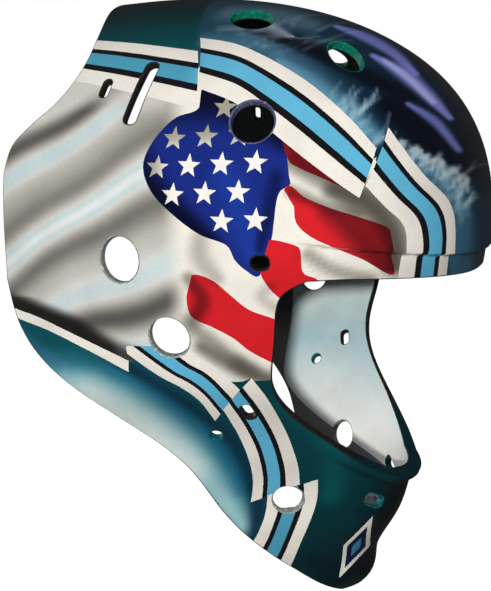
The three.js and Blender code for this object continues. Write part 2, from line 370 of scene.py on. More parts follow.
def lip_relief(p):
    gap, _ = path_gap(p[:, 1:], LIP_PATH)
    fade = smooth((p[:, 2] - LIP_FADE[0]) / (LIP_FADE[1] - LIP_FADE[0]))
    return LIP_HEIGHT * smooth(1.6 * (1 - gap / LIP_DEPTH)) * fade


def outer(turn, lift):
    p = skin(turn, lift)
    return p + (brow_relief(p) + lip_relief(p))[:, None] * facing(skin, turn, lift)


def inner(turn, lift):
    p = skin(turn, lift)
    return p + (brow_relief(p) - WALL)[:, None] * facing(skin, turn, lift)


# ------------------------------------------------------------------- the artwork
# Painted shapes are side-view outlines, the same on both sides. A band is a run of stripes between two
# edges, and its colours go from the first edge to the second.
WHITE, BLACK, SKY, NAVY, RED, STAR, GROUND = "white", "black", "sky", "navy", "red", "star", "ground"
BAND_COLOURS = [WHITE, BLACK, SKY, BLACK, WHITE]
BAND_SHARES = [0, 0.235, 0.335, 0.605, 0.72, 1]
BANDS = [
    ([(76, 101), (63, 99), (44, 95.8), (25, 92), (9.3, 88.7)],
     [(78, 83), (66, 80), (47, 75.3), (27, 69.8), (5.2, 63.3)]),
    ([(10.3, 95), (-7, 90.6), (-24.5, 81.8), (-41, 70.7), (-56, 56.8), (-66.6, 43.8)],
     [(5.7, 72.2), (-10.7, 65.2), (-22, 56.6), (-34, 46.5), (-50.4, 32.6), (-61, 24.1)]),
    ([(-70.3, 52.2), (-76.7, 42.2), (-83.7, 31.6), (-90.4, 22.8), (-93, 15.7), (-93.6, 7), (-93, -3),
      (-90.8, -15.4), (-90, -20)],
     [(-63.1, 28.8), (-70.5, 19.5), (-75.3, 13.9), (-77.2, 8.4), (-77, 0), (-76, -4), (-74, -12.8),
      (-73, -18)]),
    ([(53, -29), (40, -39), (27, -49.2), (18.3, -55), (12.3, -62.2), (9.4, -72.9)],
     [(27, -23), (13.6, -35), (7.7, -41), (1.7, -45.2), (-4.5, -54), (-6, -56.5)]),
    ([(3.9, -66.7), (1.8, -80.6), (0.5, -95.4), (1.4, -108), (4.4, -119.5)],
     [(-12, -50.9), (-16.1, -62.3), (-18.9, -81.8), (-19.6, -98.8), (-18.2, -111.5)]),
    ([(-3.6, -116.2), (-1, -127), (3.3, -136.7), (7, -142.4), (12, -149)],
     [(-26.1, -109.6), (-24.2, -120.8), (-20.8, -131), (-14, -145.6), (-7.6, -158.5), (-1, -170)]),
]
# The rear end of the lower band shows only its outer white stripe, which fades up into shadow.
TAIL_STRIPE = (
    [(104, -20.5), (94, -24), (77.4, -29.4), (58.3, -38.2), (41, -47.4)],
    [(104, -16), (94, -19.8), (81, -23.8), (57.6, -34), (40, -42.2)],
)
# The cloth hides the start of the lower band.
BAND_COVER = [(66, -18), (66, -50), (40.2, -50), (40.2, -35.4), (12, -35.4), (16, -16)]
CANTON = [
    (3.6, 64), (14, 60), (23, 51), (27, 41), (23, 30), (13, 20), (2, 12),
    (-9.1, 7.5), (-12.4, 1.3), (-16.5, -3), (-21.9, -5.7), (-25.4, 4.6), (-28, 10.2),
    (-30.7, 26.8), (-35.4, 30.6), (-34.9, 34.2), (-33.4, 46.5), (-32, 56), (-10, 72), (6, 78),
]
RED_STRIPES = [
    [(-33.4, 50), (-34.4, 40.6), (-39, 37), (-46, 33.4), (-57, 28.4), (-54, 36)],
    [(-33, 28.7), (-35.7, 30.2), (-40.7, 25.6), (-50.4, 20.7), (-60.5, 16.6), (-70.4, 11.9), (-72, 8),
     (-73, -1.3), (-72.6, -10.2), (-62.7, -2), (-53.2, 3.7), (-43, 9.5), (-37.5, 15.4), (-36.5, 23)],
    [(-26.8, 9), (-37.2, 6.2), (-38.9, 2.8), (-39.1, -5.1), (-44.3, -8.8), (-44, -14), (-32, -18),
     (-22.7, -5.7), (-25.4, 4.6)],
    [(6.5, -4.6), (-2, -6.8), (-9.2, -13.4), (-16, -20), (-30, -28.6), (-30, -49), (-21.2, -43.8),
     (-13.4, -38.2), (-7.5, -32.1), (0.5, -27), (8.8, -22.1), (9.4, -12)],
]
# Stars stand on an even staggered grid, where a whole one fits in the field.
STAR_REACH = 5.2
STAR_LEAN = 6.0
STAR_ROW = 11.5
STAR_STEP = 14.0
STAR_MARGIN = 6.0
STAR_WAIST = 0.42
# A plain diamond on the chin, as outlines inside each other.
DIAMOND = np.array([(-46, -136), (-32, -150), (-27, -171), (-41, -157)], float)
DIAMOND_BANDS = [(WHITE, 1.0), (NAVY, 0.7), (SKY, 0.32)]


def star_outline(y, z):
    at = math.radians(STAR_LEAN) + np.arange(10) * math.pi / 5
    radius = np.where(np.arange(10) % 2 == 0, STAR_REACH, STAR_REACH * STAR_WAIST)
    return np.stack([y - radius * np.sin(at), z + radius * np.cos(at)], -1)


def star_places(field):
    """Grid places at least STAR_MARGIN inside the closed outline."""
    low, high = field.min(axis=0), field.max(axis=0)
    places = []
    for row, z in enumerate(np.arange(low[1], high[1], STAR_ROW)):
        for y in np.arange(low[0] + STAR_STEP / 2 * (row % 2), high[0], STAR_STEP):
            ahead = np.roll(field, -1, axis=0)
            crosses = (field[:, 1] > z) != (ahead[:, 1] > z)
            a, b = field[crosses], ahead[crosses]
            inside = np.sum(a[:, 0] + (z - a[:, 1]) * (b[:, 0] - a[:, 0]) / (b[:, 1] - a[:, 1]) > y) % 2
            if inside and np.linalg.norm(field - (y, z), axis=1).min() > STAR_MARGIN:
                places.append((y, z))
    return places


OUTLINE_GAP = 1.5


def closed(points, per=6):
    """A smooth closed outline through points."""
    p = np.asarray(points, float)
    run = spline(np.vstack([p[-2:], p, p[:2]]), per)
    return run[2 * per: -2 * per - 1]


BAND_STEPS = 44


def band_polygons(first, second, shares, colours):
    """The stripes of a band between two edges, each as its colour and its outline in the plane."""
    ends = [plane_of(spline(edge)) for edge in (first, second)]
    lengths = [np.linalg.norm(np.diff(e, axis=0), axis=1).sum() for e in ends]
    runs = [spaced(e, length / BAND_STEPS)[:BAND_STEPS] for e, length in zip(ends, lengths)]
    runs = [np.vstack([r, e[-1:]]) for r, e in zip(runs, ends)]
    for i, colour in enumerate(colours):
        low, high = [runs[0] * (1 - s) + runs[1] * s for s in (shares[i], shares[i + 1])]
        yield colour, np.vstack([low, high[::-1]])


def corner_outline(corners):
    """A closed outline with straight sides, in the plane."""
    corners = np.asarray(corners, float)
    return plane_of(spaced(np.vstack([corners, corners[:1]]), OUTLINE_GAP)[:-1])


canton = spaced(closed(CANTON), OUTLINE_GAP)
shapes = [(NAVY, plane_of(canton))]
shapes += [(STAR, plane_of(star_outline(*at))) for at in star_places(canton)]
shapes += [(RED, plane_of(spaced(closed(stripe), OUTLINE_GAP))) for stripe in RED_STRIPES]
for first, second in BANDS:
    shapes += band_polygons(first, second, BAND_SHARES, BAND_COLOURS)
shapes.append((GROUND, corner_outline(BAND_COVER)))
shapes += band_polygons(*TAIL_STRIPE, [0, 1], [WHITE])
diamond_middle = DIAMOND.mean(axis=0)
for colour, share in DIAMOND_BANDS:
    shapes.append((colour, corner_outline(diamond_middle + share * (DIAMOND - diamond_middle))))


# --------------------------------------------------------- triangulating a sheet
FINE = 1.12
INNER_GAP = 5.0
PLANE_RISE = 200
PLANE_REACH = 330
ROW_SHARE = 0.866
OFF_MIDDLE = 0.6


def lattice(gap):
    """A triangular lattice of points over the plane, and each one's column and row."""
    rows = np.arange(int(-PLANE_RISE / gap / ROW_SHARE), int(PLANE_RISE / gap / ROW_SHARE))
    columns = np.arange(int(PLANE_REACH / gap))
    c, r = np.meshgrid(columns, rows)
    points = np.stack([gap * (c + 0.5 * (r % 2)) + OFF_MIDDLE * gap, r * gap * ROW_SHARE], -1)
    return points.reshape(-1, 2), c.ravel(), r.ravel()


def in_detail(p):
    """Whether the artwork at form points p has fine soft detail, or the shell a small shape."""
    y, z = p[:, 1], p[:, 2]
    ear = (y > -36) & (z > -50) & (z < 72)
    crown = (z > 18) & (y < -28)
    lip = (y < -36) & (z < -94) & (z > -134)
    ridge = (np.abs(z - ridge_z(y)) < 3) & (y < -28)
    return ear | crown | lip | ridge


def signed_area(p):
    return 0.5 * np.sum(p[:, 0] * np.roll(p[:, 1], -1) - p[:, 1] * np.roll(p[:, 0], -1))


def triangulate(polygons, loose):
    """Triangles over polygons and loose points. Gives points, triangles, the polygons that each triangle
    is in, and where each polygon's points went."""
    points = np.vstack([*polygons, loose])
    sizes = np.cumsum([0] + [len(p) for p in polygons])
    faces = [
        list(range(a, b))[:: 1 if signed_area(p) > 0 else -1]
        for a, b, p in zip(sizes[:-1], sizes[1:], polygons)
    ]
    result = delaunay_2d_cdt([Vector(p) for p in points], [], faces, 0, 1e-4, True)
    verts = np.array([tuple(v) for v in result[0]])
    came_from = np.full(len(points), -1)
    for new, olds in enumerate(result[3]):
        came_from[list(olds)] = new
    return verts, np.array(result[2]), [set(f) for f in result[5]], came_from


def drop_unused(verts, tris):
    used = np.unique(tris)
    number = np.full(len(verts), -1)
    number[used] = np.arange(len(used))
    return verts[used], number[tris], number


points, column, row = lattice(FINE)
form_points = skin(points[:, 0] / TURN_MM, points[:, 1])
loose = points[in_detail(form_points) | ((column % 2 == 0) & (row % 2 == 0))]
solid_polygons = [half_outline, *openings]
plane, tris, within, _ = triangulate(solid_polygons + [p for _, p in shapes], loose)
holes = set(range(1, len(solid_polygons)))
kept = np.array([0 in f and not f & holes for f in within])
tris = tris[kept]
# The last painted shape that a triangle is in gives its colour, or -1 where it is bare ground.
painted = np.array([max(f) - len(solid_polygons) if max(f) >= len(solid_polygons) else -1
                    for f, k in zip(within, kept) if k])
plane, tris, _ = drop_unused(plane, tris)
ON_MIDDLE = 1e-4


def mirrored(plane, tris):
    """Both halves of a sheet: its points, its triangles and the half point that each is."""
    aside = plane[:, 0] > ON_MIDDLE
    twin = np.arange(len(plane))
    twin[aside] = len(plane) + np.arange(aside.sum())
    both = np.vstack([plane, plane[aside] * [-1, 1]])
    return both, np.vstack([tris, twin[tris][:, ::-1]]), twin


def edge_loops(tris):
    """The closed loops round a sheet, with the sheet on the left."""
    ways = np.vstack([tris[:, [0, 1]], tris[:, [1, 2]], tris[:, [2, 0]]])
    there = set(map(tuple, ways.tolist()))
    after = {a: b for a, b in there if (b, a) not in there}
    loops = []
    while after:
        first, at = after.popitem()
        loop = [first]
        while at != first:
            loop.append(at)
            at = after.pop(at)
        loops.append(np.array(loop))
    return sorted(loops, key=lambda loop: (-len(loop), int(loop.min())))


half_loops = edge_loops(tris)
inner_loose, _, _ = lattice(INNER_GAP)
inner_plane, inner_tris, within, came = triangulate([plane[loop] for loop in half_loops], inner_loose)
inner_tris = inner_tris[[f == {0} for f in within]]
inner_plane, inner_tris, number = drop_unused(inner_plane, inner_tris)
inner_of_half = {}
for v, new in zip(np.concatenate(half_loops), number[came]):
    inner_of_half[int(v)] = int(new)

outer_plane, outer_tris, outer_twin = mirrored(plane, tris)
inside_plane, inside_tris, inner_twin = mirrored(inner_plane, inner_tris)
inner_of = np.full(len(outer_plane), -1)
for v, new in inner_of_half.items():
    inner_of[v] = new
    inner_of[outer_twin[v]] = inner_twin[new]


# ------------------------------------------------------------------ the airbrush
def blend_to(base, colour, amount):
    return base + (np.asarray(colour, float) - base) * np.clip(amount, 0, 1)[:, None]


def coat(colour, places):
    """One colour at every place."""
    return np.tile(np.array(colour, float), (len(places), 1))


def ramp(value, stops):
    """A colour by value, from (value, colour) stops."""
    at = [s[0] for s in stops]
    return np.stack([np.interp(value, at, [s[1][k] for s in stops]) for k in range(3)], -1)


def stroke_mask(yz, points, softness):
    """How much of a stroke's paint falls at side-view points. Each of its points is (y, z, radius)."""
    path = spline(points, 6)
    gap, where = path_gap(yz, path[:, :2])
    radius = np.interp(where, np.linspace(0, 1, len(path)), path[:, 2])
    return smooth((radius - gap) / np.maximum(radius * softness, 0.2))


def airbrush(base, yz, strokes):
    """Paints strokes over base. Each stroke is (colour, strength, softness, points)."""
    for colour, strength, softness, points in strokes:
        low = np.min(points, axis=0)
        high = np.max(points, axis=0)
        reach = high[2] + 4
        near = np.all((yz > low[:2] - reach) & (yz < high[:2] + reach), axis=1)
        if near.any():
            mask = strength * stroke_mask(yz[near], points, softness)
            base[near] = blend_to(base[near], colour, mask)
    return base


CLOUD_WAVES = 5
CLOUD_STEP = 0.6
CLOUD_SWING = 2.2


def wobble(yz, size, seed):
    """A soft cloud from about -1 to 1, made of a few waves, each finer and fainter than the last."""
    total = np.zeros(len(yz))
    spin = np.random.default_rng(seed)
    for k in range(CLOUD_WAVES):
        angle, phase = spin.uniform(0, 2 * math.pi, 2)
        finer = 1 + CLOUD_STEP * k
        total += np.sin((yz @ [math.cos(angle), math.sin(angle)]) / size * finer + phase) / finer
    return total / CLOUD_SWING


# Colours as the eye reads them, 0 to 255.
FLAG_WHITE = (243, 239, 228)
CANTON_BLUE = (26, 44, 130)
STRIPE_RED = (214, 34, 42)
STAR_WHITE = (246, 244, 238)
INK = (22, 22, 25)
STRIPE_SKY = (98, 184, 220)
STRIPE_WHITE = (242, 237, 228)
SMUDGE = (84, 80, 70)
DEEP_TEAL = (6, 58, 66)
TEAL = (12, 84, 92)
# Lavender, partly the art's own colour and partly a painted reflection on the gloss.
LAVENDER = (150, 156, 250)
PALE_LAVENDER = (200, 202, 252)
MIDNIGHT = (8, 13, 26)
OCEAN = (16, 46, 66)
SLATE_BLUE = (60, 108, 134)
FOAM_WHITE = (196, 214, 222)

# Soft shadows airbrushed over the flag and its border.
FLAG_SHADOWS = [
    (SMUDGE, 0.97, 1.0, [(-52, 28, 7), (-64, 22, 12), (-72, 10, 11), (-74, -6, 8)]),
    (SMUDGE, 0.7, 1.0, [(-36, 40, 7), (-46, 34, 8), (-60, 26, 9)]),
    (SMUDGE, 0.55, 1.0, [(-36, 28, 5), (-48, 22, 4), (-60, 18, 4)]),
    (SMUDGE, 0.35, 1.0, [(2, 10, 7), (2, 2, 8), (-4, -6, 6)]),
    (SMUDGE, 0.6, 1.0, [(8, -6, 5), (3, -15, 6), (8, -24, 6)]),
    (SMUDGE, 0.5, 1.0, [(12, -26, 7), (4, -31, 6), (-3, -38, 6), (-12, -47, 6)]),
    (SMUDGE, 0.6, 1.0, [(-8, -44, 7), (-16, -50, 7), (-24, -52, 6)]),
    (SMUDGE, 0.7, 1.0, [(6, -36, 6), (-6, -45, 7), (-18, -53, 6)]),
    (SMUDGE, 0.5, 1.0, [(-42, 2, 5), (-52, -6, 5), (-64, -11, 5)]),
    (SMUDGE, 0.25, 1.0, [(-26, -10, 4), (-22, -15, 5), (-29, -22, 4)]),
]
CANTON_SHADOWS = [
    ((14, 30, 66), 1.0, 0.3, [(-46, -136, 14), (-28, -170, 14)]),
    ((7, 9, 30), 0.95, 1.0, [(14, 72, 22), (-10, 66, 17), (-34, 50, 10)]),
    ((8, 11, 38), 0.95, 1.0, [(34, 44, 17), (22, 30, 12), (8, 18, 9), (-4, 8, 6)]),
    ((30, 66, 168), 0.6, 1.0, [(-10, 34, 12), (-16, 18, 11), (-20, 2, 7)]),
    ((10, 14, 52), 0.6, 1.0, [(-30, 34, 5), (-27, 20, 5), (-23, 6, 4)]),
]
# The same shadows over red, which are a little stronger, and two more.
DARK_RED = (84, 16, 20)
RED_GAIN = 1.15
RED_SHADES = [
    ((90, 18, 24), 0.9, 1.0, [(-30, 52, 10), (-42, 42, 8), (-56, 32, 7)]),
    ((96, 20, 26), 0.8, 1.0, [(-50, 20, 7), (-58, 12, 9), (-65, 2, 9), (-69, -8, 6)]),
]
# Rippled cloth over the ear: parallel waves, dark in their hollows and pale on their crests.
FOLD_START = 8.0
FOLD_FADE = 12.0
FOLD_WIDTH = 33.0
FOLD_LEAN = 0.42
FOLD_DRIFT = 10.0
FOLD_CLOUD = 34.0
BROAD_FOLDS = 0.72
FINE_FOLDS = 0.28
FINE_RATE = 1.7
FOLD_TONES = [
    (-1.0, (92, 90, 87)), (-0.6, (140, 138, 132)), (-0.1, (186, 184, 176)),
    (0.4, (217, 219, 215)), (0.8, (200, 220, 223)), (1.0, (232, 238, 238)),
]
# Where the cloth fades into the jaw's teal, and the shadow along the lower band's tail: a line through
# a (y, z) point with a lean, and how wide the fade is.
JAW_FADE = ((-18, -58), 0.25, 9)
TAIL_SHADE = ((94, -17), 0.43, 9)
TAIL_TOP = -14
TAIL_FRONT = 24
TAIL_SHADE_COLOUR = (34, 32, 30)
TAIL_SHADE_STRENGTH = 0.85
EAR_SHADES = [
    ((26, 25, 24), 0.95, 0.9, [(98, -17, 7), (80, -22, 7), (64, -28, 8), (50, -38, 8)]),
    ((210, 206, 198), 0.7, 1.0, [(84, 68, 9), (62, 75, 10), (42, 72, 10), (22, 68, 7)]),
]
WEAVE_BROW = [
    ((216, 226, 236), 0.5, 0.9, [(-2, 106, 1.4), (-14, 101, 3), (-28, 93, 1.6)]),
    ((190, 204, 216), 0.4, 1.0, [(4, 99, 1.4), (-10, 98, 3), (-22, 95, 1.6)]),
]
# Tones of the crown by height behind and by y in front. The teal's darkening to near black at the top is
# painted shade, and the blues' darkening to midnight at the front is partly the art's navy, partly painted
# shade.
CROWN_REAR_TONES_AND_SHADE = [(84, TEAL), (100, (8, 66, 72)), (112, (10, 44, 46)), (124, (22, 26, 22))]
CROWN_FRONT_TONES_AND_SHADE = [(-102, MIDNIGHT), (-84, (12, 28, 46)), (-50, OCEAN), (0, (36, 70, 88))]
# Sweeps round the forehead; the lavender ones are partly painted reflection.
CROWN_SWEEPS = [
    (SLATE_BLUE, 0.9, 1.0, [(8, 94, 6), (-14, 90, 8), (-34, 78, 9), (-52, 62, 9), (-66, 48, 7)]),
    ((96, 150, 176), 0.85, 1.0, [(-26, 82, 3), (-42, 70, 6), (-58, 55, 7), (-66, 48, 5)]),
    ((96, 124, 146), 0.75, 1.0, [(4, 108, 8), (-16, 106, 9), (-34, 99, 6)]),
    (MIDNIGHT, 0.97, 0.8,
     [(-8, 98, 1.4), (-20, 94, 4), (-34, 89, 4.6), (-46, 82, 4.6), (-60, 74, 5), (-76, 65, 4)]),
    (MIDNIGHT, 0.98, 0.8, [(-70, 62, 7), (-79, 53, 10), (-89, 44, 11), (-98, 35, 10), (-102, 24, 8)]),
    (LAVENDER, 0.85, 0.8, [(-42, 99, 1.5), (-54, 94, 3.5), (-66, 86, 3), (-76, 76, 1.5)]),
    (LAVENDER, 0.85, 0.8, [(-60, 84, 1.5), (-72, 76, 4), (-82, 66, 3.5), (-90, 56, 1.5)]),
    (PALE_LAVENDER, 0.7, 0.8, [(-64, 82, 1), (-74, 74, 2), (-84, 63, 1.5)]),
    (LAVENDER, 0.7, 0.9, [(-76, 62, 1.5), (-86, 54, 3), (-94, 42, 2)]),
    (SLATE_BLUE, 0.95, 0.7, [(-78, 40, 4), (-86, 32, 7), (-92, 23, 8), (-96, 10, 8), (-96, -14, 7)]),
    ((14, 52, 76), 0.8, 0.9, [(-97, 28, 4), (-101, 14, 4), (-101, -4, 4)]),
    ((104, 154, 182), 0.6, 1.0, [(-82, 35, 2.6), (-89, 31, 3), (-94, 24, 3), (-97, 14, 2.4)]),
]
WISP = (190, 216, 228)
# Seed, count, side-view box, lean, length, colour and strength of each patch of flicks.
CROWN_WISPS = [
    (5, 26, ((-66, 44), (-48, 62)), 122, 9, WISP, 0.5),
    (6, 12, ((-40, 84), (0, 98)), 158, 22, WISP, 0.3),
    (7, 20, ((-96, 8), (-84, 30)), 118, 9, WISP, 0.4),
]
SURF_EDGE = [(-75, 46), (-83, 41), (-90, 36), (-96, 30), (-100, 20)]
HULL_TONES = [(0, (8, 66, 80)), (40, (12, 78, 88)), (100, (16, 80, 90))]
HULL_SHADES = [
    ((58, 130, 152), 0.97, 1.0,
     [(80, -46, 12), (66, -52, 20), (46, -64, 28), (28, -88, 27), (16, -116, 17)]),
    ((160, 204, 210), 0.97, 1.0,
     [(74, -54, 13), (56, -64, 23), (38, -82, 25), (24, -104, 19), (10, -132, 11)]),
    ((226, 240, 238), 0.97, 1.0, [(62, -62, 18), (44, -78, 21), (30, -98, 17)]),
    ((28, 104, 146), 0.5, 1.0, [(50, -46, 6), (30, -56, 7), (18, -73, 7), (10, -92, 7), (8, -114, 6)]),
    ((10, 46, 66), 0.9, 1.0,
     [(50, -40, 5), (32, -51, 6), (16, -67, 6), (4, -90, 6), (2, -120, 6), (6, -142, 5)]),
    ((62, 112, 146), 0.5, 1.0, [(94, -32, 6), (86, -38, 6), (76, -45, 5)]),
]
# The chin: its teal darker towards the bottom as painted shade; its marks a paler teal behind the face
# opening as a painted highlight, near black and dark teal as painted shade towards the front and bottom of
# the chin, a violet tint and a grey near the lower edge.
CHIN_TONES = [(-180, (10, 40, 46)), (-130, (5, 50, 56)), (-90, (6, 66, 72)), (-56, (8, 62, 70))]
CHIN_SHADES = [
    ((10, 92, 94), 0.7, 1.0, [(-22, -66, 9), (-34, -86, 9), (-34, -104, 10), (-30, -120, 9)]),
    ((4, 12, 16), 0.9, 1.0, [(-60, -124, 7), (-56, -136, 10), (-50, -150, 10), (-42, -168, 12)]),
    ((4, 30, 36), 0.6, 1.0, [(-18, -156, 9), (-26, -172, 10)]),
    ((74, 46, 66), 0.55, 1.0, [(-46, -140, 5), (-42, -154, 6), (-38, -166, 5)]),
    ((120, 124, 122), 0.5, 1.0, [(-34, -176, 5), (-24, -180, 5)]),
]


def wisps(seed, count, box, lean, length, colour, strength):
    """Thin curved flicks of paint inside a side-view box."""
    pick = np.random.default_rng(seed)
    (y0, z0), (y1, z1) = box
    made = []
    for _ in range(count):
        y, z = pick.uniform(y0, y1), pick.uniform(z0, z1)
        angle = math.radians(lean + pick.normal(0, 16))
        reach = length * pick.uniform(0.5, 1.3)
        bend = pick.uniform(-0.35, 0.35)
        mid = (y + 0.5 * reach * math.cos(angle + bend), z + 0.5 * reach * math.sin(angle + bend))
        tip = (y + reach * math.cos(angle), z + reach * math.sin(angle))
        width = pick.uniform(1.1, 2.0)
        points = [(y, z, width), (*mid, width * 0.8), (*tip, 0.9)]
        made.append((colour, strength * pick.uniform(0.4, 1), 1.0, points))
    return made


def fringe(seed, count, path, lean, length, colour, strength):
    """Short flicks of paint that start along a side-view path."""
    pick = np.random.default_rng(seed)
    run = spaced(spline(path), 0.5)
    made = []
    for _ in range(count):
        root = run[pick.integers(len(run))] + pick.normal(0, 0.7, 2)
        angle = math.radians(lean + pick.normal(0, 24))
        reach = length * pick.uniform(0.3, 1.2)
        tip = root + reach * np.array([math.cos(angle), math.sin(angle)])
        amount = strength * pick.uniform(0.5, 1)
        made.append((colour, amount, 1.0, [(*root, pick.uniform(1.1, 1.9)), (*tip, 0.9)]))
    return made


def rippled_cloth(yz):
    """Waves of cloth of two widths that lean back and drift."""
    run = yz[:, 1] + FOLD_LEAN * yz[:, 0] + FOLD_DRIFT * wobble(yz, FOLD_CLOUD, 11)
    turn = run * 2 * math.pi / FOLD_WIDTH
    return ramp(BROAD_FOLDS * np.sin(turn) + FINE_FOLDS * np.sin(FINE_RATE * turn + 1), FOLD_TONES)


def flag_ground(p):
    """The white of the flag, which turns into rippled cloth over the ear and into teal by the jaw."""
    yz = p[:, 1:]
    base = coat(FLAG_WHITE, yz)
    base = airbrush(base, yz, FLAG_SHADOWS)
    ripple = smooth((yz[:, 0] - FOLD_START) / FOLD_FADE)
    base = base + (rippled_cloth(yz) - base) * ripple[:, None]
    base = airbrush(base, yz, EAR_SHADES)
    (start_y, start_z), lean, fade = JAW_FADE
    jaw = smooth((start_z - yz[:, 1] - lean * (yz[:, 0] - start_y)) / fade)
    base = blend_to(base, DEEP_TEAL, jaw)
    (shade_y, shade_z), lean, width = TAIL_SHADE
    tail = (yz[:, 1] < TAIL_TOP) & (yz[:, 0] > TAIL_FRONT)
    shadow = smooth(1 - np.abs(yz[:, 1] - shade_z - (yz[:, 0] - shade_y) * lean) / width) * tail
    return blend_to(base, TAIL_SHADE_COLOUR, TAIL_SHADE_STRENGTH * shadow)


def crown_ground(p):
    """Teal behind, then sweeps of ocean blue, lavender and midnight round the forehead. The teal and the
    blues darken as painted shade towards the top and the front, and the lavender is partly painted
    reflection.
    """
    yz = p[:, 1:]
    rear = ramp(yz[:, 1], CROWN_REAR_TONES_AND_SHADE)
    front = ramp(yz[:, 0], CROWN_FRONT_TONES_AND_SHADE)
    split = smooth((yz[:, 0] - 9 - 0.28 * (yz[:, 1] - 88)) / 1.0)
    strokes = CROWN_SWEEPS[:]
    for flicks in CROWN_WISPS:
        strokes += wisps(*flicks)
    strokes += fringe(8, 60, SURF_EDGE, -62, 6, FOAM_WHITE, 0.62)
    strokes += WEAVE_BROW
    front = airbrush(front, yz, strokes)
    return front + (rear - front) * split[:, None]


def jaw_ground(p):
    yz = p[:, 1:]
    return airbrush(ramp(yz[:, 0], HULL_TONES), yz, HULL_SHADES)


def chin_ground(p):
    yz = p[:, 1:]
    base = ramp(yz[:, 1], CHIN_TONES)
    base = airbrush(base, yz, CHIN_SHADES)
    # Painted shade: darker still towards the front of the chin and below it.
    front = smooth((42 - np.abs(p[:, 0])) / 30) * smooth((-112 - yz[:, 1]) / 8)
    return blend_to(base, (10, 14, 18), 0.7 * front)


# Where the grounds meet, in the side view. The first two run from front to rear as (y, z) points, and
# JAW_DIVIDE goes up as (z, y) points.
UPPER_DIVIDE = [
    (-82, -20), (-81, 10), (-74, 30), (-66, 40), (-58, 46), (-40, 60), (-17, 74), (8, 82), (66, 90),
]
LOWER_DIVIDE = [(-6, -52), (8, -49), (27, -40), (41, -43), (58, -36), (80, -27), (95, -21)]
JAW_DIVIDE = [(-182, 8), (-150, 2), (-119, -8), (-95, -9), (-66, -4), (-52, -4)]


def ground_of(p):
    """Which ground a form point is on: 0 flag and cloth, 1 crown, 2 jaw, 3 chin."""
    y, z = p[:, 1], p[:, 2]
    crown = (z > np.interp(y, *np.transpose(UPPER_DIVIDE))) | (y < -82)
    below = z < np.interp(y, *np.transpose(LOWER_DIVIDE))
    ahead = y < np.interp(z, *np.transpose(JAW_DIVIDE))
    chin = ahead & (z < -52)
    return np.select([crown & (z > -30), below & ~ahead, chin], [1, 2, 3], 0)


GROUNDS = [flag_ground, crown_ground, jaw_ground, chin_ground]


def canton_paint(p):
    base = coat(CANTON_BLUE, p)
    return airbrush(base, p[:, 1:], CANTON_SHADOWS)


def red_paint(p):
    yz = p[:, 1:]
    base = coat(STRIPE_RED, p)
    dark = [(DARK_RED, RED_GAIN * strength, *rest) for _, strength, *rest in FLAG_SHADOWS]
    return airbrush(base, yz, dark + RED_SHADES)


def white_paint(p):
    base = coat(STRIPE_WHITE, p)
    return blend_to(base, (206, 202, 196), 0.25 * smooth(wobble(p[:, 1:], 9, 3)))


def star_paint(p):
    base = coat(STAR_WHITE, p)
    dim = smooth((p[:, 2] - 44) / 10) + smooth((p[:, 1] - 14) / 10) + smooth((-24 - p[:, 1]) / 5)
    return blend_to(base, (150, 146, 126), 0.85 * dim)


def sky_paint(p):
    base = coat(STRIPE_SKY, p)
    base = blend_to(base, (44, 92, 130), smooth((-134 - p[:, 2]) / 4) * smooth((-30 - p[:, 1]) / 2))
    dim = smooth((p[:, 1] - 2) / 12) * smooth((p[:, 2] - 50) / 10) + smooth((-110 - p[:, 2]) / 12)
    return blend_to(base, (70, 150, 178), 0.7 * dim)


def black_paint(p):
    return coat(INK, p)


PAINTS = {
    WHITE: white_paint, BLACK: black_paint, SKY: sky_paint,
    NAVY: canton_paint, RED: red_paint, STAR: star_paint,
}


def linear(colours):
    c = np.clip(colours, 0, 255) / 255
    return np.where(c <= 0.04045, c / 12.92, ((c + 0.055) / 1.055) ** 2.4)


def painted_colours(plane, tris, painted):
    """Linear colours for the three corners of each triangle."""
    corners = skin(*(plane / [TURN_MM, 1.0]).T)[tris]
    kinds = np.array([kind for kind, _ in shapes] + [GROUND])[painted]
    grounds = ground_of(corners.mean(axis=1))
    out = np.zeros((len(tris), 3, 3))
    jobs = [(kinds == kind, paint) for kind, paint in PAINTS.items()]
    jobs += [((kinds == GROUND) & (grounds == i), paint) for i, paint in enumerate(GROUNDS)]
    for mine, paint in jobs:
        out[mine] = paint(corners[mine].reshape(-1, 3)).reshape(-1, 3, 3)
    return linear(out)


# ------------------------------------------------------------------- the shell
RIM_STEPS = np.radians([30, 60, 90])


def mesh_object(name, verts, faces, normals=None):
    """A smooth mesh object from millimetre points."""
    mesh = bpy.data.meshes.new(name)
    mesh.from_pydata((np.asarray(verts) * MM).tolist(), [], [list(map(int, f)) for f in faces])
    mesh.shade_smooth()
    if normals is not None:
        mesh.normals_split_custom_set_from_vertices(np.asarray(normals).tolist())
    made = bpy.data.objects.new(name, mesh)
    bpy.context.scene.collection.objects.link(made)
    return made


# A rim with more points than this is a trimmed edge, not an opening.
LONG_RIM = 200


def rim_colours(loop_points):
    """The cut edge's colours: each opening has its own, and trimmed edges are dark, or teal at the chin."""
    if len(loop_points) > LONG_RIM:
        chin = smooth((-92 - loop_points[:, 2]) / 10) * smooth((-38 - loop_points[:, 1]) / 12)
        return blend_to(coat(DARK_RIM, loop_points), CHIN_RIM, chin)
    spots = np.array([o[:2] for o in ROUND_OPENINGS + SLOTS])
    nearest = int(np.argmin(np.linalg.norm(spots - loop_points.mean(axis=0)[1:], axis=1)))
    return coat((ROUND_OPENINGS + SLOTS)[nearest][-1], loop_points)


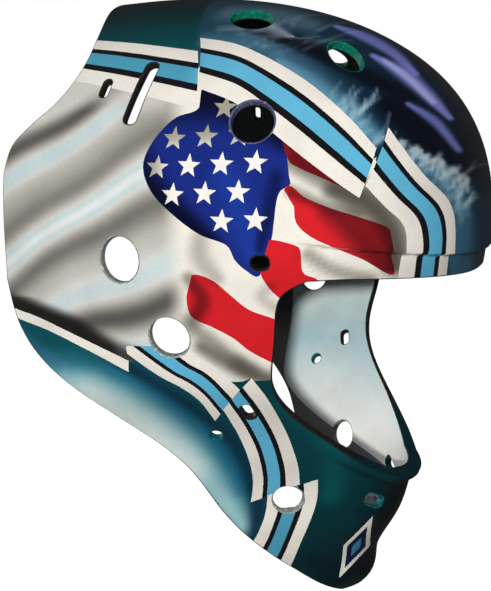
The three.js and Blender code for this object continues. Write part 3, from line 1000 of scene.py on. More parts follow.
def build_shell():
    turn_lift = outer_plane / [TURN_MM, 1.0]
    verts = [outer(*turn_lift.T)]
    normals = [facing(outer, *turn_lift.T)]
    inside_turn_lift = inside_plane / [TURN_MM, 1.0]
    inside = inner(*inside_turn_lift.T)
    inside_normals = facing(inner, *inside_turn_lift.T)
    count = len(verts[0])
    faces = [outer_tris]
    quads = []
    quad_colours = []
    loops = edge_loops(outer_tris)
    rings_total = 2 * len(RIM_STEPS)
    inner_start = count + sum(len(loop) for loop in loops) * rings_total
    for loop in loops:
        p, n = verts[0][loop], normals[0][loop]
        ahead = unit(np.roll(p, -1, axis=0) - np.roll(p, 1, axis=0))
        beyond = unit(np.cross(ahead, n))
        back_loop = inner_of[loop]
        q = inside[back_loop]
        ids = [loop]
        for k, angle in enumerate([*RIM_STEPS, *RIM_STEPS[::-1]]):
            over, under = math.sin(angle) * beyond, math.cos(angle)
            first_side = k < len(RIM_STEPS)
            base, sign = (p, 1) if first_side else (q, -1)
            verts.append(base + RIM_ROUND * (over - sign * (1 - under) * n))
            normals.append(unit(over + sign * under * n))
            ids.append(np.arange(count, count + len(loop)))
            count += len(loop)
        ids.append(back_loop + inner_start)
        colour = rim_colours(p)
        colour_after = np.roll(colour, -1, axis=0)
        at_corners = np.stack([colour, colour, colour_after, colour_after], 1)
        for a, b in zip(ids[:-1], ids[1:]):
            quads.append(np.stack([a, b, np.roll(b, -1), np.roll(a, -1)], -1))
            quad_colours.append(at_corners.reshape(-1, 3))
    verts.append(inside)
    normals.append(-inside_normals)
    quads = np.vstack(quads)
    inner_faces = inside_tris[:, ::-1] + inner_start
    all_faces = [*outer_tris.tolist(), *quads.tolist(), *inner_faces.tolist()]
    shell = mesh_object("shell_painted", np.vstack(verts), all_faces, np.vstack(normals))
    half = painted_colours(plane, tris, painted)
    colours = np.vstack([
        half.reshape(-1, 3),
        half[:, ::-1].reshape(-1, 3),
        linear(np.vstack(quad_colours)),
        np.ones((len(inner_faces) * 3, 3)),
    ])
    layer = shell.data.attributes.new("airbrush", "FLOAT_COLOR", "CORNER")
    with_alpha = np.hstack([colours, np.ones((len(colours), 1))])
    layer.data.foreach_set("color", with_alpha.astype(np.float32).ravel())
    slots = np.repeat([0, 1, 2], [len(outer_tris), len(quads), len(inner_faces)]).astype(np.int32)
    shell.data.polygons.foreach_set("material_index", slots)
    return shell


shell = build_shell()


# ------------------------------------------------------------------- materials
def material(name, **settings):
    """A new material and its Principled shader, with constants set on the shader's own sockets."""
    made = bpy.data.materials.new(name)
    made.use_nodes = True
    shader = made.node_tree.nodes["Principled BSDF"]
    for key, value in settings.items():
        shader.inputs[key.replace("_", " ")].default_value = value
    return made, shader


def node(made, kind, inputs=None, **settings):
    """A new node. An input is set where its value is a number or colour, and linked where it is a socket."""
    new = made.node_tree.nodes.new("ShaderNode" + kind)
    for key, value in settings.items():
        setattr(new, key, value)
    for key, value in (inputs or {}).items():
        feed(made, new.inputs[key], value)
    return new


def feed(made, socket, value):
    if isinstance(value, bpy.types.NodeSocket):
        made.node_tree.links.new(value, socket)
    else:
        socket.default_value = value


def maths(made, operation, a, b=0.0, clamp=False):
    return node(made, "Math", {0: a, 1: b}, operation=operation, use_clamp=clamp).outputs[0]


def place_of(made, scale=(1, 1, 1)):
    """The row frame's position, in metres times scale."""
    position = node(made, "TexCoord").outputs["Object"]
    return node(made, "Mapping", {"Vector": position, "Scale": scale}).outputs[0]


def noise(made, scale, detail=3.0, rough=0.55, stretch=(1, 1, 1)):
    inputs = {"Vector": place_of(made, stretch), "Scale": scale, "Detail": detail, "Roughness": rough}
    return node(made, "TexNoise", inputs).outputs["Fac"]


def ramped(made, fac, *stops):
    """A colour ramp through (position, linear colour) stops."""
    new = node(made, "ValToRGB", {0: fac})
    while len(new.color_ramp.elements) < len(stops):
        new.color_ramp.elements.new(0.5)
    for element, (at, colour) in zip(new.color_ramp.elements, stops):
        element.position = at
        element.color = (*colour, 1.0)
    return new.outputs[0]


# Numbers of the colour sockets on a Mix node and of the target range on a Map Range node.
MIX_A, MIX_B, MIX_OUT = 6, 7, 2
MAP_TO_LOW, MAP_TO_HIGH = 3, 4


def mixed(made, fac, a, b, blend="MIX"):
    inputs = {0: fac, MIX_A: a, MIX_B: b}
    return node(made, "Mix", inputs, data_type="RGBA", blend_type=blend).outputs[MIX_OUT]


def times(made, a, b):
    """One colour multiplied by another."""
    return mixed(made, 1.0, a, b, "MULTIPLY")


def greys(made, fac, *stops):
    """A ramp through (position, grey) stops. A grey over 1 brightens what it multiplies."""
    return ramped(made, fac, *[(at, (grey, grey, grey)) for at, grey in stops])


def tinted(made, shader, colour):
    feed(made, shader.inputs["Base Color"], colour)


def roughened(made, shader, fac, low, high):
    """A roughness that goes from low to high as fac does from 0 to 1."""
    to = node(made, "MapRange", {0: fac, MAP_TO_LOW: low, MAP_TO_HIGH: high}).outputs[0]
    feed(made, shader.inputs["Roughness"], to)


def cells(made, vector, scale, **inputs):
    """Round cells: a node whose Distance is from the middle of each, and whose Color is its own."""
    return node(made, "TexVoronoi", {"Vector": vector, "Scale": scale, **inputs})


def channel(made, colour, which):
    """The red, green or blue of a colour, as 0, 1 or 2."""
    return node(made, "SeparateColor", {0: colour}).outputs[which]


def bumped(made, shader, height, strength, distance):
    inputs = {"Height": height, "Strength": strength, "Distance": distance}
    feed(made, shader.inputs["Normal"], node(made, "Bump", inputs).outputs[0])


def rgb(*colour):
    """A linear colour from one as the eye reads it, 0 to 255."""
    return tuple(float(c) for c in linear(np.array(colour, float)))


# Of the cells that could each hold a speck, the share that don't, and a speck's size in its cell.
NIB_RARITY = 0.93
NIB_RADIUS = 0.03
NIB_COLOUR = (0.75, 0.75, 0.72, 1)
# Painted glints: of the cells of flake, the share that stay plain, and how much brighter a bright fleck is.
FLAKE_RARITY = 0.9
FLAKE_GLINT_GAIN = (3, 3, 3, 1)


def gloss_paint():
    """Airbrushed paint under clear coat, with a fine grain and a few specks of dust."""
    made, shader = material("gloss_paint", Roughness=0.34, Coat_Weight=0.8, Coat_Roughness=0.08)
    paint = node(made, "Attribute", attribute_name="airbrush").outputs["Color"]
    grain = greys(made, noise(made, 2600, 2), (0.3, 0.9), (0.7, 1.08))
    cloud = greys(made, noise(made, 70, 4), (0.3, 0.94), (0.7, 1.04))
    colour = times(made, times(made, paint, grain), cloud)
    nib = cells(made, place_of(made), 90.0, Randomness=1.0)
    rare = maths(made, "GREATER_THAN", channel(made, nib.outputs["Color"], 0), NIB_RARITY)
    speck = maths(made, "MULTIPLY", maths(made, "LESS_THAN", nib.outputs["Distance"], NIB_RADIUS), rare)
    tinted(made, shader, mixed(made, speck, colour, NIB_COLOUR))
    roughened(made, shader, noise(made, 120, 3), 0.28, 0.42)
    bumped(made, shader, noise(made, 420, 2, 0.4), 0.06, 0.0004)
    return made


def cut_edge():
    """The trimmed laminate: its plies under a thin overspray, with flake where the paint reaches in, painted
    as bright glints.
    """
    made, shader = material("cut_edge", Roughness=0.55)
    paint = node(made, "Attribute", attribute_name="airbrush").outputs["Color"]
    ply = greys(made, noise(made, 900, 4, 0.7), (0.3, 0.55), (0.7, 1.25))
    flake = cells(made, place_of(made), 1500.0)
    bright = maths(made, "GREATER_THAN", channel(made, flake.outputs["Color"], 1), FLAKE_RARITY)
    glint = maths(made, "MULTIPLY", bright, 0.5)
    tinted(made, shader, mixed(made, glint, times(made, paint, ply), times(made, paint, FLAKE_GLINT_GAIN)))
    roughened(made, shader, noise(made, 700, 3), 0.4, 0.7)
    bumped(made, shader, noise(made, 1400, 3, 0.6), 0.35, 0.0003)
    return made


# Painted shade: the dark grey inside the shell, behind the shade line and above brow height.
PAINTED_INSIDE_SHADE = rgb(84, 84, 86)
# The line inside the shell behind which the wall is painted dark as shade, in metres: how far back it is,
# where it starts to curve forward, and how sharply. SHARP_EDGE turns a distance in metres into an edge 1 mm
# wide.
SHADE_LINE_Y = 0.033
SHADE_LINE_FOOT = -0.085
SHADE_LINE_ROUND = 0.025
SHARP_EDGE = 1000.0
# How fast the overspray's colour changes with height, per metre, and its place on the ramp at z = 0.
OVERSPRAY_RATE = 4.6
OVERSPRAY_START = 0.62


def behind_shade_line(made):
    """1 behind the line inside the shell where the painted shade starts, which curves forward under the jaw.
    """
    at = node(made, "SeparateXYZ", {0: place_of(made)})
    below = maths(made, "DIVIDE", maths(made, "SUBTRACT", SHADE_LINE_FOOT, at.outputs[2]), SHADE_LINE_ROUND)
    below = maths(made, "POWER", maths(made, "MAXIMUM", below, 0.0), 2.0)
    line = maths(made, "SUBTRACT", SHADE_LINE_Y, maths(made, "MULTIPLY", below, SHADE_LINE_ROUND))
    return maths(made, "MULTIPLY", maths(made, "SUBTRACT", at.outputs[1], line), SHARP_EDGE, True)


def inner_wall():
    """The inside: pale primer with blue-green overspray below brow height, in front of a line, and a dark
    grey painted shade behind that line and above brow height."""
    made, shader = material("inner_wall", Roughness=0.5, Coat_Weight=0.15, Coat_Roughness=0.3)
    height = node(made, "SeparateXYZ", {0: place_of(made)}).outputs[2]
    drift = maths(made, "MULTIPLY", noise(made, 14, 3), 0.3)
    drift = maths(made, "ADD", maths(made, "MULTIPLY", height, OVERSPRAY_RATE), drift)
    low, mid, top = rgb(244, 244, 238), rgb(184, 214, 222), rgb(226, 230, 222)
    stops = [(0.0, low), (0.22, low), (0.45, mid), (0.72, top), (1.0, top)]
    colour = ramped(made, maths(made, "ADD", drift, OVERSPRAY_START), *stops)
    # Painted shade: dark grey above brow height and behind the shade line.
    above = maths(made, "MULTIPLY", height, SHARP_EDGE, True)
    inside_shade = maths(made, "MAXIMUM", behind_shade_line(made), above)
    colour = mixed(made, inside_shade, colour, (*PAINTED_INSIDE_SHADE, 1))
    mottle = greys(made, noise(made, 55, 5), (0.3, 0.9), (0.7, 1.04))
    tinted(made, shader, times(made, colour, mottle))
    roughened(made, shader, noise(made, 90, 3), 0.42, 0.62)
    wave = {"Vector": place_of(made), "Scale": 190.0, "Distortion": 0.6, "Detail": 1.0}
    weave = [node(made, "TexWave", wave, bands_direction=way).outputs["Fac"] for way in ("Y", "Z")]
    cloth = maths(made, "ADD", maths(made, "MULTIPLY", *weave), noise(made, 160, 3))
    bumped(made, shader, cloth, 0.18, 0.0005)
    return made


for finish in (gloss_paint(), cut_edge(), inner_wall()):
    shell.data.materials.append(finish)
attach(shell, "shell")
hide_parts("shell")

# ---------------------------------------------------------------------- padding
# Depths below the outer skin: hook patch, loop backing, foam.
TAPE = 1.2
CLEAR = 0.3
HOOK_AT = WALL + CLEAR
LOOP_AT = HOOK_AT + TAPE + CLEAR
FOAM_AT = LOOP_AT + TAPE + CLEAR
PAD_CORNER = 0.3
TAPE_SHARE = 0.7

# Side pads: y, z, wide, tall, foam, channels. Middle pads: at, out, wide, tall, foam, inset, channels.
SIDE_PADS = {
    "temple": (8, 18, 28, 58, 12, 2),
    "ear": (73, 12, 34, 58, 12, 2),
    "cheek": (62, -33, 28, 20, 12, 0),
    "jaw": (-9, -140, 22, 15, 8, 0),
}
MIDDLE_PADS = {
    "forehead": ((0, -100, 28), (0, -1, 0), 130, 36, 12, 0, 5),
    "brow": ((0, -100, -4), (0, -1, 0), 140, 13, 5, BROW_STEP, 0),
    "crown": ((0, 28, 120), (0, 0, 1), 76, 66, 12, 0, 3),
    "chin": ((0, -55, -152), (0, -1, 0), 40, 24, 8, 0, 1),
}


def beyond_form(p):
    """Over 0 outside the plain form, under 0 inside it."""
    x, y, z = p.T
    (front, half, power, widest, rear), _, _ = level_of_z(z)
    ahead = y < widest
    reach = np.maximum(np.where(ahead, widest - front, rear), 1e-3)
    power = np.where(ahead, power, REAR_POWER)
    half = np.maximum(half, 1e-3)
    return (np.abs(x) / half) ** power + (np.abs(y - widest) / reach) ** power - 1


def form_normal(p):
    step = 0.05
    slopes = [beyond_form(p + d) - beyond_form(p - d) for d in np.eye(3) * step]
    return unit(np.stack(slopes, -1))


SEARCH = 70.0


class Wall:
    """The wall behind one pad, laid out flat along its level and up ways. settle is the depth at which a
    layer keeps its flat size, and is set for each layer."""

    def __init__(self, at, out):
        self.settle = 0.0
        self.at = np.array(at, float)
        self.out = np.array(out, float)
        guide = (0, 1, 0) if abs(self.out[2]) > 0.95 else (0, 0, 1)
        self.level = unit(np.cross(guide, self.out))
        self.up = np.cross(self.out, self.level)

    def drop(self, start):
        """Where the form's skin is, in or out from each start point."""
        low, high = np.full(len(start), -SEARCH), np.full(len(start), SEARCH)
        for _ in range(26):
            middle = (low + high) / 2
            outside = beyond_form(start + middle[:, None] * self.out) > 0
            high = np.where(outside, middle, high)
            low = np.where(outside, low, middle)
        return start + low[:, None] * self.out

    def under(self, flat, depth):
        """Points below the outer skin, and the skin's normals there."""
        start = self.at + flat[:, :1] * self.level + flat[:, 1:] * self.up
        drift = 0.0
        for _ in range(3):
            skin_point = self.drop(start + drift)
            n = form_normal(skin_point)
            drift = self.settle * (n - (n @ self.out)[:, None] * self.out)
        return skin_point - np.reshape(depth, (-1, 1)) * n, n


def rounded_outline(wide, tall, corner, gap):
    """Evenly spaced points round a rounded rectangle."""
    quarter = np.linspace(0, math.pi / 2, 9)
    points = []
    for k, (sx, sy) in enumerate([(1, 1), (-1, 1), (-1, -1), (1, -1)]):
        a = quarter + k * math.pi / 2
        centre = np.array([sx * (wide / 2 - corner), sy * (tall / 2 - corner)])
        points.append(centre + corner * np.stack([np.cos(a), np.sin(a)], -1))
    points = np.vstack(points)
    return spaced(np.vstack([points, points[:1]]), gap)[:-1]


def to_edge(flat, wide, tall, corner):
    """How far inside the rounded rectangle's edge each point is."""
    over = np.abs(flat) - (np.array([wide, tall]) / 2 - corner)
    outside = np.linalg.norm(np.maximum(over, 0), axis=1)
    return corner - outside - np.minimum(over.max(axis=1), 0)


def lofted(rings, centre_front, centre_back):
    """Faces of a closed body: rings from front to back, with a point at each end."""
    count = len(rings[0])
    faces = []
    around = range(count)
    for k in around:
        faces.append((centre_front, k, (k + 1) % count))
    for i in range(len(rings) - 1):
        low = i * count
        for k in around:
            after = (k + 1) % count
            faces.append((low + k, low + count + k, low + count + after, low + after))
    low = (len(rings) - 1) * count
    for k in around:
        faces.append((centre_back, low + (k + 1) % count, low + k))
    return faces


def pad_body(name, wall, outline, insides, depths, front_middle, back_middle):
    """A closed body from plan rings. Each ring is the outline scaled, at its own depths."""
    rings = [outline * share for share in insides]
    flat = np.vstack([*rings, np.zeros((2, 2))])
    deep = np.concatenate([*depths, [front_middle, back_middle]])
    points, _ = wall.under(flat, deep)
    faces = lofted(rings, len(flat) - 2, len(flat) - 1)
    made = mesh_object(name, points, faces)
    cloth = made.data.attributes.new("cloth", "FLOAT_VECTOR", "POINT")
    cloth.data.foreach_set("vector", np.column_stack([flat, deep]).astype(np.float32).ravel())
    return made


SEAM_SHARE = 0.42
SEAM_INSET = 0.8
SEAM_GAP = 1.5
SHOULDER_REACH = 9.0
SHOULDER_POWER = 2.3
CROWN = 1.0
# A channel's depth in a pad of full thickness. Thinner pads have shallower ones.
CHANNEL_DEPTH = 2.4
FULL_FOAM = 12
CHANNEL_WIDTH = 2.0
TOP_STITCH_AT = 4.2
GROOVE_DEPTH = 0.5
GROOVE_WIDTH = 0.7
# How many puckers go round the seam, how far in they reach and how deep they are, and how much the
# cover swells and sinks by itself.
PUCKERS = 37
PUCKER_REACH = 2.6
PUCKER_DEPTH = 0.28
SOFTNESS = 0.22


def channel_lines(pad):
    """Places of the sewn channels along the pad's long way."""
    long = max(pad["wide"], pad["tall"])
    return (np.arange(pad["channels"]) + 1) / (pad["channels"] + 1) * long - long / 2


def front_height(pad, flat):
    """How far the cover stands off the foam's back, by plan place."""
    foam = pad["foam"]
    d = np.maximum(to_edge(flat, pad["wide"], pad["tall"], pad["corner"]), 0)
    reach = min(SHOULDER_REACH, min(pad["wide"], pad["tall"]) * 0.42)
    t = 1 - np.minimum(d / reach, 1)
    rise = (1 - t ** SHOULDER_POWER) ** (1 / SHOULDER_POWER)
    height = foam * (SEAM_SHARE + (1 - SEAM_SHARE) * rise)
    half = np.array([pad["wide"], pad["tall"]]) / 2
    height += CROWN * np.clip(1 - ((flat / half) ** 2).sum(axis=1), 0, 1)
    along_it = flat[:, 0 if pad["wide"] > pad["tall"] else 1]
    depth = CHANNEL_DEPTH * foam / FULL_FOAM * smooth(d / 6)
    for line in channel_lines(pad):
        height -= depth * np.exp(-(((along_it - line) / CHANNEL_WIDTH) ** 2))
    height -= GROOVE_DEPTH * np.exp(-(((d - TOP_STITCH_AT) / GROOVE_WIDTH) ** 2))
    turn = np.arctan2(flat[:, 1], flat[:, 0])
    pucker = np.sin(turn * PUCKERS + 2 * np.sin(turn * 5)) * np.exp(-d / PUCKER_REACH) * smooth(d / 1.2)
    soft = np.sin(flat[:, 0] * 0.31 + pad["seed"]) * np.sin(flat[:, 1] * 0.27 + 2 * pad["seed"])
    return height + PUCKER_DEPTH * pucker + SOFTNESS * soft * smooth(d / 5)


def seam_outline(pad):
    wide, tall = (pad[way] - 2 * SEAM_INSET for way in ("wide", "tall"))
    return rounded_outline(wide, tall, pad["corner"] - SEAM_INSET, SEAM_GAP)


def build_pad(name, wall, pad):
    outline = seam_outline(pad)
    back = FOAM_AT + pad["inset"]
    front_shares = np.r_[np.linspace(0.03, 0.86, 26), np.linspace(0.885, 1, 7)]
    shares = list(front_shares)
    depths = [back + front_height(pad, outline * share) for share in front_shares]
    for t in (0.35, 0.7, 1.0):
        bulge = 1.2 * math.sin(math.pi * t) / min(pad["wide"], pad["tall"])
        shares.append(1 + bulge)
        depths.append(np.full(len(outline), back + pad["foam"] * SEAM_SHARE * (1 - t) + 0.25 * t))
    for share in (0.97, 0.7, 0.35):
        shares.append(share)
        depths.append(np.full(len(outline), back))
    middle = float(back + front_height(pad, np.zeros((1, 2)))[0])
    return pad_body(name, wall, outline, shares, depths, middle, back)


def tube(path, radius, sides, loop):
    """Points and faces of a round cord along a path of points."""
    ahead = np.roll(path, -1, axis=0) - np.roll(path, 1, axis=0)
    if not loop:
        ahead[0], ahead[-1] = path[1] - path[0], path[-1] - path[-2]
    ahead = unit(ahead)
    guide = np.array([0.31, 0.52, 0.79])
    side = unit(np.cross(ahead, guide))
    over = np.cross(side, ahead)
    a = np.linspace(0, 2 * math.pi, sides, endpoint=False)
    radius = np.broadcast_to(radius, len(path))
    ring = np.cos(a)[None, :, None] * side[:, None] + np.sin(a)[None, :, None] * over[:, None]
    points = path[:, None] + radius[:, None, None] * ring
    count = len(path)
    faces = []
    for i in range(count if loop else count - 1):
        j = (i + 1) % count
        for k in range(sides):
            m = (k + 1) % sides
            faces.append((i * sides + k, i * sides + m, j * sides + m, j * sides + k))
    if not loop:
        faces.append(tuple(range(sides))[::-1])
        faces.append(tuple((count - 1) * sides + k for k in range(sides)))
    return points.reshape(-1, 3), faces


PIPING = 0.95
THREAD = 0.3
STITCH = 2.3
STITCH_STEP = 3.5


def stitch_ends(path, step):
    """Stitch starts along a path, evenly stepped."""
    lengths = np.linalg.norm(np.diff(path, axis=0), axis=1)
    total = lengths.sum()
    count = max(2, int(total / step))
    at = (np.arange(count) + 0.5) / count * total
    walked = np.r_[0, np.cumsum(lengths)]
    return [
        np.stack([np.interp(at + o, walked, path[:, c]) for c in (0, 1)], -1)
        for o in (-STITCH / 2, 0, STITCH / 2)
    ]


def build_trim(name, wall, pad):
    """The piping round the seam, and the thread of the top stitching and the channels."""
    outline = seam_outline(pad)
    back = FOAM_AT + pad["inset"]
    seam, _ = wall.under(outline, np.full(len(outline), back + pad["foam"] * SEAM_SHARE))
    points, faces = tube(seam, PIPING, 8, True)
    all_points, all_faces, kinds = [points], list(faces), [0] * len(faces)
    count = len(points)
    runs = []
    inner_wide, inner_tall = (pad[k] - 2 * TOP_STITCH_AT for k in ("wide", "tall"))
    if min(inner_wide, inner_tall) > 5:
        corner = max(pad["corner"] - TOP_STITCH_AT, 0.8)
        top = rounded_outline(inner_wide, inner_tall, corner, 1.0)
        runs.append(np.vstack([top, top[:1]]))
    long_first = pad["wide"] > pad["tall"]
    reach = min(pad["wide"], pad["tall"]) / 2 - TOP_STITCH_AT - 1
    for line in channel_lines(pad):
        ends = np.array([(line, -reach), (line, reach)], float)
        runs.append(spaced(ends if long_first else ends[:, ::-1], 1.0))
    for run in runs:
        parts = stitch_ends(run, STITCH_STEP)
        flat = np.vstack(parts)
        sink = np.repeat([THREAD * 0.9, -THREAD * 0.5, THREAD * 0.9], len(parts[0]))
        deep = back + front_height(pad, flat) - sink
        placed, _ = wall.under(flat, deep)
        placed = placed.reshape(3, -1, 3)
        for k in range(placed.shape[1]):
            points, faces = tube(placed[:, k], [THREAD * 0.6, THREAD, THREAD * 0.6], 5, False)
            all_points.append(points)
            all_faces.extend(tuple(v + count for v in f) for f in faces)
            kinds.extend([1] * len(faces))
            count += len(points)
    made = mesh_object(name, np.vstack(all_points), all_faces)
    made.data.polygons.foreach_set("material_index", np.array(kinds, np.int32))
    return made


SELVEDGE = 1.6
SELVEDGE_DROP = 0.35


def build_tape(name, wall, pad, depth, pile_out):
    """One tape patch: a field of hooks or loops raised inside a woven border. pile_out is which side."""
    wide, tall = pad["wide"] * TAPE_SHARE, pad["tall"] * TAPE_SHARE
    outline = rounded_outline(wide, tall, pad["corner"] * TAPE_SHARE, 1.4)
    short = min(wide, tall)
    edge = 1 - 2 * SELVEDGE / short
    shares = [0.12, 0.4, 0.7, edge - 0.02, edge + 0.02, 0.97, 1.0, 1.0, 0.97, 0.6]
    field = [TAPE, TAPE, TAPE, TAPE, TAPE - SELVEDGE_DROP, TAPE - SELVEDGE_DROP, TAPE - 0.6, 0.25, 0.0, 0.0]
    depth = depth + pad["inset"]
    if pile_out:
        deep = [depth + TAPE - f for f in field]
        ends = (depth, depth + TAPE)
    else:
        deep = [depth + f for f in field]
        ends = (depth + TAPE, depth)
    deep = [np.full(len(outline), d) for d in deep]
    made = pad_body(name, wall, outline, shares, deep, *ends)
    if pile_out:
        made.data.flip_normals()
    return made


def cloth_of(made):
    """The pad's own flat coordinates, in millimetres."""
    return node(made, "Attribute", attribute_name="cloth").outputs["Vector"]


def cloth_wave(made, way, per_mm, distortion):
    inputs = {"Vector": cloth_of(made), "Scale": per_mm / 2, "Distortion": distortion, "Detail": 1.0}
    return node(made, "TexWave", inputs, bands_direction=way).outputs["Fac"]


def cover_knit():
    """The pads' dark knitted cover, with lint on it and painted shade in the knit's grooves."""
    made, shader = material("cover_knit", Roughness=0.85, Sheen_Weight=0.35, Sheen_Roughness=0.5)
    knit = maths(made, "MULTIPLY", cloth_wave(made, "Y", 0.9, 1.4), cloth_wave(made, "X", 0.8, 0.4))
    worn = noise(made, 60, 4)
    base = ramped(made, worn, (0.3, rgb(62, 65, 71)), (0.55, rgb(74, 77, 83)), (0.8, rgb(98, 100, 104)))
    # Painted shade: darker in the grooves of the knit and lighter on its ridges.
    colour = times(made, base, greys(made, knit, (0.0, 0.6), (0.7, 1.15)))
    lint = maths(made, "GREATER_THAN", noise(made, 3000, 2, 0.6), 0.72)
    tinted(made, shader, mixed(made, maths(made, "MULTIPLY", lint, 0.35), colour, (0.4, 0.4, 0.42, 1)))
    roughened(made, shader, worn, 0.95, 0.7)
    bumped(made, shader, maths(made, "ADD", knit, noise(made, 900, 3)), 0.5, 0.0004)
    return made


def towel():
    """The pale terry of the sweatband at the brow, with painted shade between its loops."""
    made, shader = material("towel", Roughness=0.95, Sheen_Weight=0.5, Sheen_Roughness=0.4)
    loops = cells(made, cloth_of(made), 1.3).outputs["Distance"]
    dye = noise(made, 45, 4)
    stops = [(0.3, rgb(196, 200, 205)), (0.6, rgb(214, 216, 220)), (0.85, rgb(180, 181, 178))]
    base = ramped(made, dye, *stops)
    # Painted shade: darker between the terry loops and a little lighter on their tops.
    tinted(made, shader, times(made, base, greys(made, loops, (0.0, 1.05), (0.7, 0.62))))
    roughened(made, shader, dye, 0.85, 1.0)
    bumped(made, shader, maths(made, "SUBTRACT", noise(made, 1500, 4, 0.7), loops), 0.8, 0.0006)
    return made


def piping():
    """The dark twill cord along a pad's seam."""
    made, shader = material("piping", Roughness=0.6)
    twill = noise(made, 1600, 3, 0.6, (1, 1, 2.2))
    tinted(made, shader, ramped(made, twill, (0.3, rgb(18, 19, 22)), (0.7, rgb(44, 46, 50))))
    roughened(made, shader, noise(made, 200, 3), 0.5, 0.75)
    bumped(made, shader, twill, 0.4, 0.0003)
    return made


def thread():
    """Pale sewing thread."""
    made, shader = material("thread", Roughness=0.5, Sheen_Weight=0.2)
    twist = noise(made, 2400, 2, 0.5, (1, 2, 1))
    tinted(made, shader, ramped(made, twist, (0.3, rgb(120, 122, 126)), (0.7, rgb(176, 178, 182))))
    roughened(made, shader, twist, 0.4, 0.65)
    bumped(made, shader, twist, 0.4, 0.0002)
    return made


def hook_tape():
    """Black plastic hooks in even rows, scuffed, with painted shade between them."""
    made, shader = material("hook_tape", Roughness=0.45)
    hooks = cells(made, cloth_of(made), 1.1, Randomness=0.25).outputs["Distance"]
    scuff = noise(made, 80, 4)
    # Painted shade and highlight: lighter on the tops of the hooks, near black between them.
    base = ramped(made, hooks, (0.1, rgb(58, 58, 62)), (0.6, rgb(14, 14, 16)))
    tinted(made, shader, times(made, base, greys(made, scuff, (0.35, 0.85), (0.75, 1.3))))
    roughened(made, shader, scuff, 0.35, 0.65)
    bumped(made, shader, maths(made, "SUBTRACT", 1.0, hooks), 0.9, 0.0006)
    return made


def loop_cloth():
    """The fuzzy loops that the hooks hold."""
    made, shader = material("loop_cloth", Roughness=0.95, Sheen_Weight=0.6, Sheen_Roughness=0.35)
    fuzz = noise(made, 1300, 5, 0.75)
    tint = noise(made, 70, 3)
    base = ramped(made, tint, (0.3, rgb(30, 31, 35)), (0.75, rgb(52, 53, 58)))
    tinted(made, shader, times(made, base, greys(made, fuzz, (0.3, 0.6), (0.7, 1.4))))
    roughened(made, shader, tint, 0.88, 1.0)
    bumped(made, shader, fuzz, 0.8, 0.0005)
    return made


KNIT, TOWEL, PIPE, SEWING = cover_knit(), towel(), piping(), thread()
HOOKS, LOOPS = hook_tape(), loop_cloth()


def add_pad(name, wall, pad):
    """One pad with its trim and both tapes, each in place of its CAD node."""
    body = f"{name}_pad"
    wall.settle = FOAM_AT + pad["foam"] / 2
    cushion = build_pad(f"{name}_cushion", wall, pad)
    cushion.data.materials.append(TOWEL if name == "brow" else KNIT)
    trim = build_trim(f"{name}_piping", wall, pad)
    trim.data.materials.append(PIPE)
    trim.data.materials.append(SEWING)
    wall.settle = HOOK_AT
    hooks = build_tape(f"{name}_hooks", wall, pad, HOOK_AT, False)
    hooks.data.materials.append(HOOKS)
    wall.settle = LOOP_AT
    loops = build_tape(f"{name}_loops", wall, pad, LOOP_AT, True)
    loops.data.materials.append(LOOPS)
    for piece in (cushion, trim, loops):
        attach(piece, body)
    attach(hooks, "shell")
    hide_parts(body)
    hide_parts(f"{name}_hook_patch")
    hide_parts(f"{name}_loop_backing")


def pad_sizes(wide, tall, foam, inset, channels, seed):
    return {
        "wide": wide, "tall": tall, "foam": foam, "inset": inset, "channels": channels,
        "corner": PAD_CORNER * min(wide, tall), "seed": seed,
    }


for seed, (name, (at, out, *sizes)) in enumerate(MIDDLE_PADS.items()):
    add_pad(name, Wall(at, out), pad_sizes(*sizes, seed))
for seed, (name, (y, z, wide, tall, foam, channels)) in enumerate(SIDE_PADS.items()):
    at, _, _, out = wall_frame(y, z)
    for word, side in (("right", -1), ("left", 1)):
        across = np.array([side, 1, 1])
        sizes = pad_sizes(wide, tall, foam, 0, channels, seed + side)
        add_pad(f"{name}_{word}", Wall(at * across, out * across), sizes)

# ------------------------------------------------------------ camera and studio
CAMERA_AT = Vector((-480.1, -150, 35)) * MM
CAMERA_RIGHT = Vector((0.3391, -0.9397, -0.0450)).normalized()
CAMERA_UP = Vector((0.1315, 0.0, 0.9913)).normalized()
camera = bpy.data.objects.new("camera", bpy.data.cameras.new("camera"))
bpy.context.scene.collection.objects.link(camera)
camera.data.sensor_width = 36.0
camera.data.lens = 58.5
camera.data.clip_start = 0.01
back = CAMERA_RIGHT.cross(CAMERA_UP)
turned = Matrix((CAMERA_RIGHT, CAMERA_UP, back)).transposed().to_4x4()
camera.matrix_world = Matrix.Translation(CAMERA_AT) @ turned
bpy.context.scene.camera = camera


def lamp(name, at, size, power, colour=(1, 1, 1), reflected=True):
    """A round lamp aimed at the mask. Where reflected is false it lights the gloss without showing in it."""
    data = bpy.data.lights.new(name, "AREA")
    data.shape = "DISK"
    data.size = size
    data.energy = power
    data.color = colour
    made = bpy.data.objects.new(name, data)
    bpy.context.scene.collection.objects.link(made)
    made.location = at
    made.rotation_mode = "QUATERNION"
    made.rotation_quaternion = (Vector(at) - CENTRE).to_track_quat("Z", "Y")
    made.visible_glossy = reflected


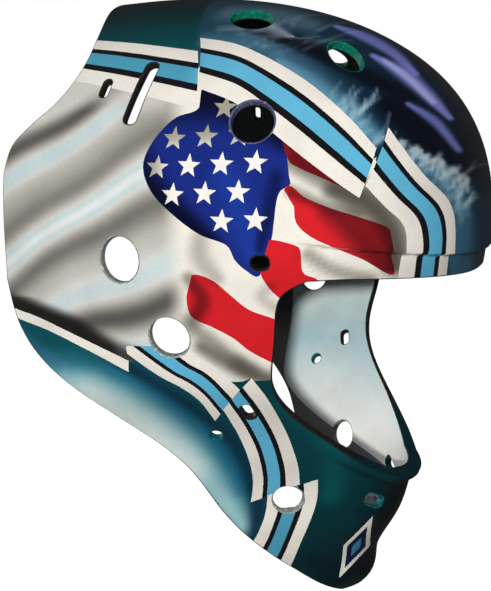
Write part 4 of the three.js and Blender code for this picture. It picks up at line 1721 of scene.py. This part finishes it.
# The key light is behind the camera, a little to its left and above it, all in metres but the reach,
# which is how many times further out than the camera it is.
CENTRE = Vector((0, 0, -0.03))
KEY_LEFT = 0.024
KEY_ABOVE = 0.008
KEY_REACH = 2.8
key_at = CENTRE + KEY_REACH * (CAMERA_AT - CAMERA_RIGHT * KEY_LEFT + CAMERA_UP * KEY_ABOVE - CENTRE)
lamp("key", key_at, 0.06, 19.0, (1.0, 0.985, 0.965), reflected=False)
lamp("left_fill", (1.3, -0.7, 0.5), 0.9, 7.0, reflected=False)
lamp("rear_fill", (0.3, 1.4, 0.5), 0.9, 9.0)
lamp("top_fill", (-0.1, -0.3, 1.5), 0.8, 2.4, reflected=False)

world = bpy.data.worlds.new("studio")
bpy.context.scene.world = world
world.use_nodes = True
sky = world.node_tree.nodes["Background"]
sky.inputs["Color"].default_value = (0.9, 0.95, 1.0, 1)
sky.inputs["Strength"].default_value = 0.025
bpy.context.scene.view_settings.view_transform = "Standard"

# A pale floor that curves up into a backdrop all round.
FLOOR_Z = CAD_BOX[0].z - 0.0005
FLOOR_REACH = 4.0
FLOOR_TOP = 3.5
COVE = 1.6


def build_floor():
    spins = 64
    profile = [(0.0, 0.0)] + [(r, 0.0) for r in np.linspace(0.3, FLOOR_REACH - COVE, 6)]
    profile += [
        (FLOOR_REACH - COVE + COVE * math.sin(a), COVE - COVE * math.cos(a))
        for a in np.linspace(0.1, math.pi / 2, 14)
    ]
    profile.append((FLOOR_REACH, FLOOR_TOP))
    verts = [(0, 0, FLOOR_Z / MM)]
    for r, h in profile[1:]:
        for k in range(spins):
            a = 2 * math.pi * k / spins
            verts.append((r * math.cos(a) / MM, r * math.sin(a) / MM, (FLOOR_Z + h) / MM))
    faces = [(0, 1 + k, 1 + (k + 1) % spins) for k in range(spins)]
    for i in range(len(profile) - 2):
        low = 1 + i * spins
        for k in range(spins):
            after = (k + 1) % spins
            faces.append((low + k, low + spins + k, low + spins + after, low + after))
    floor = mesh_object("floor", verts, faces)
    made, shader = material("floor", Base_Color=(0.3, 0.3, 0.3, 1), Roughness=0.9)
    shader.inputs["Emission Color"].default_value = (1, 1, 1, 1)
    shader.inputs["Emission Strength"].default_value = 0.97
    floor.data.materials.append(made)
    floor.visible_diffuse = False
    floor.visible_glossy = False


build_floor()

# ------------------------------------------------------------------------ end
bpy.context.view_layer.update()
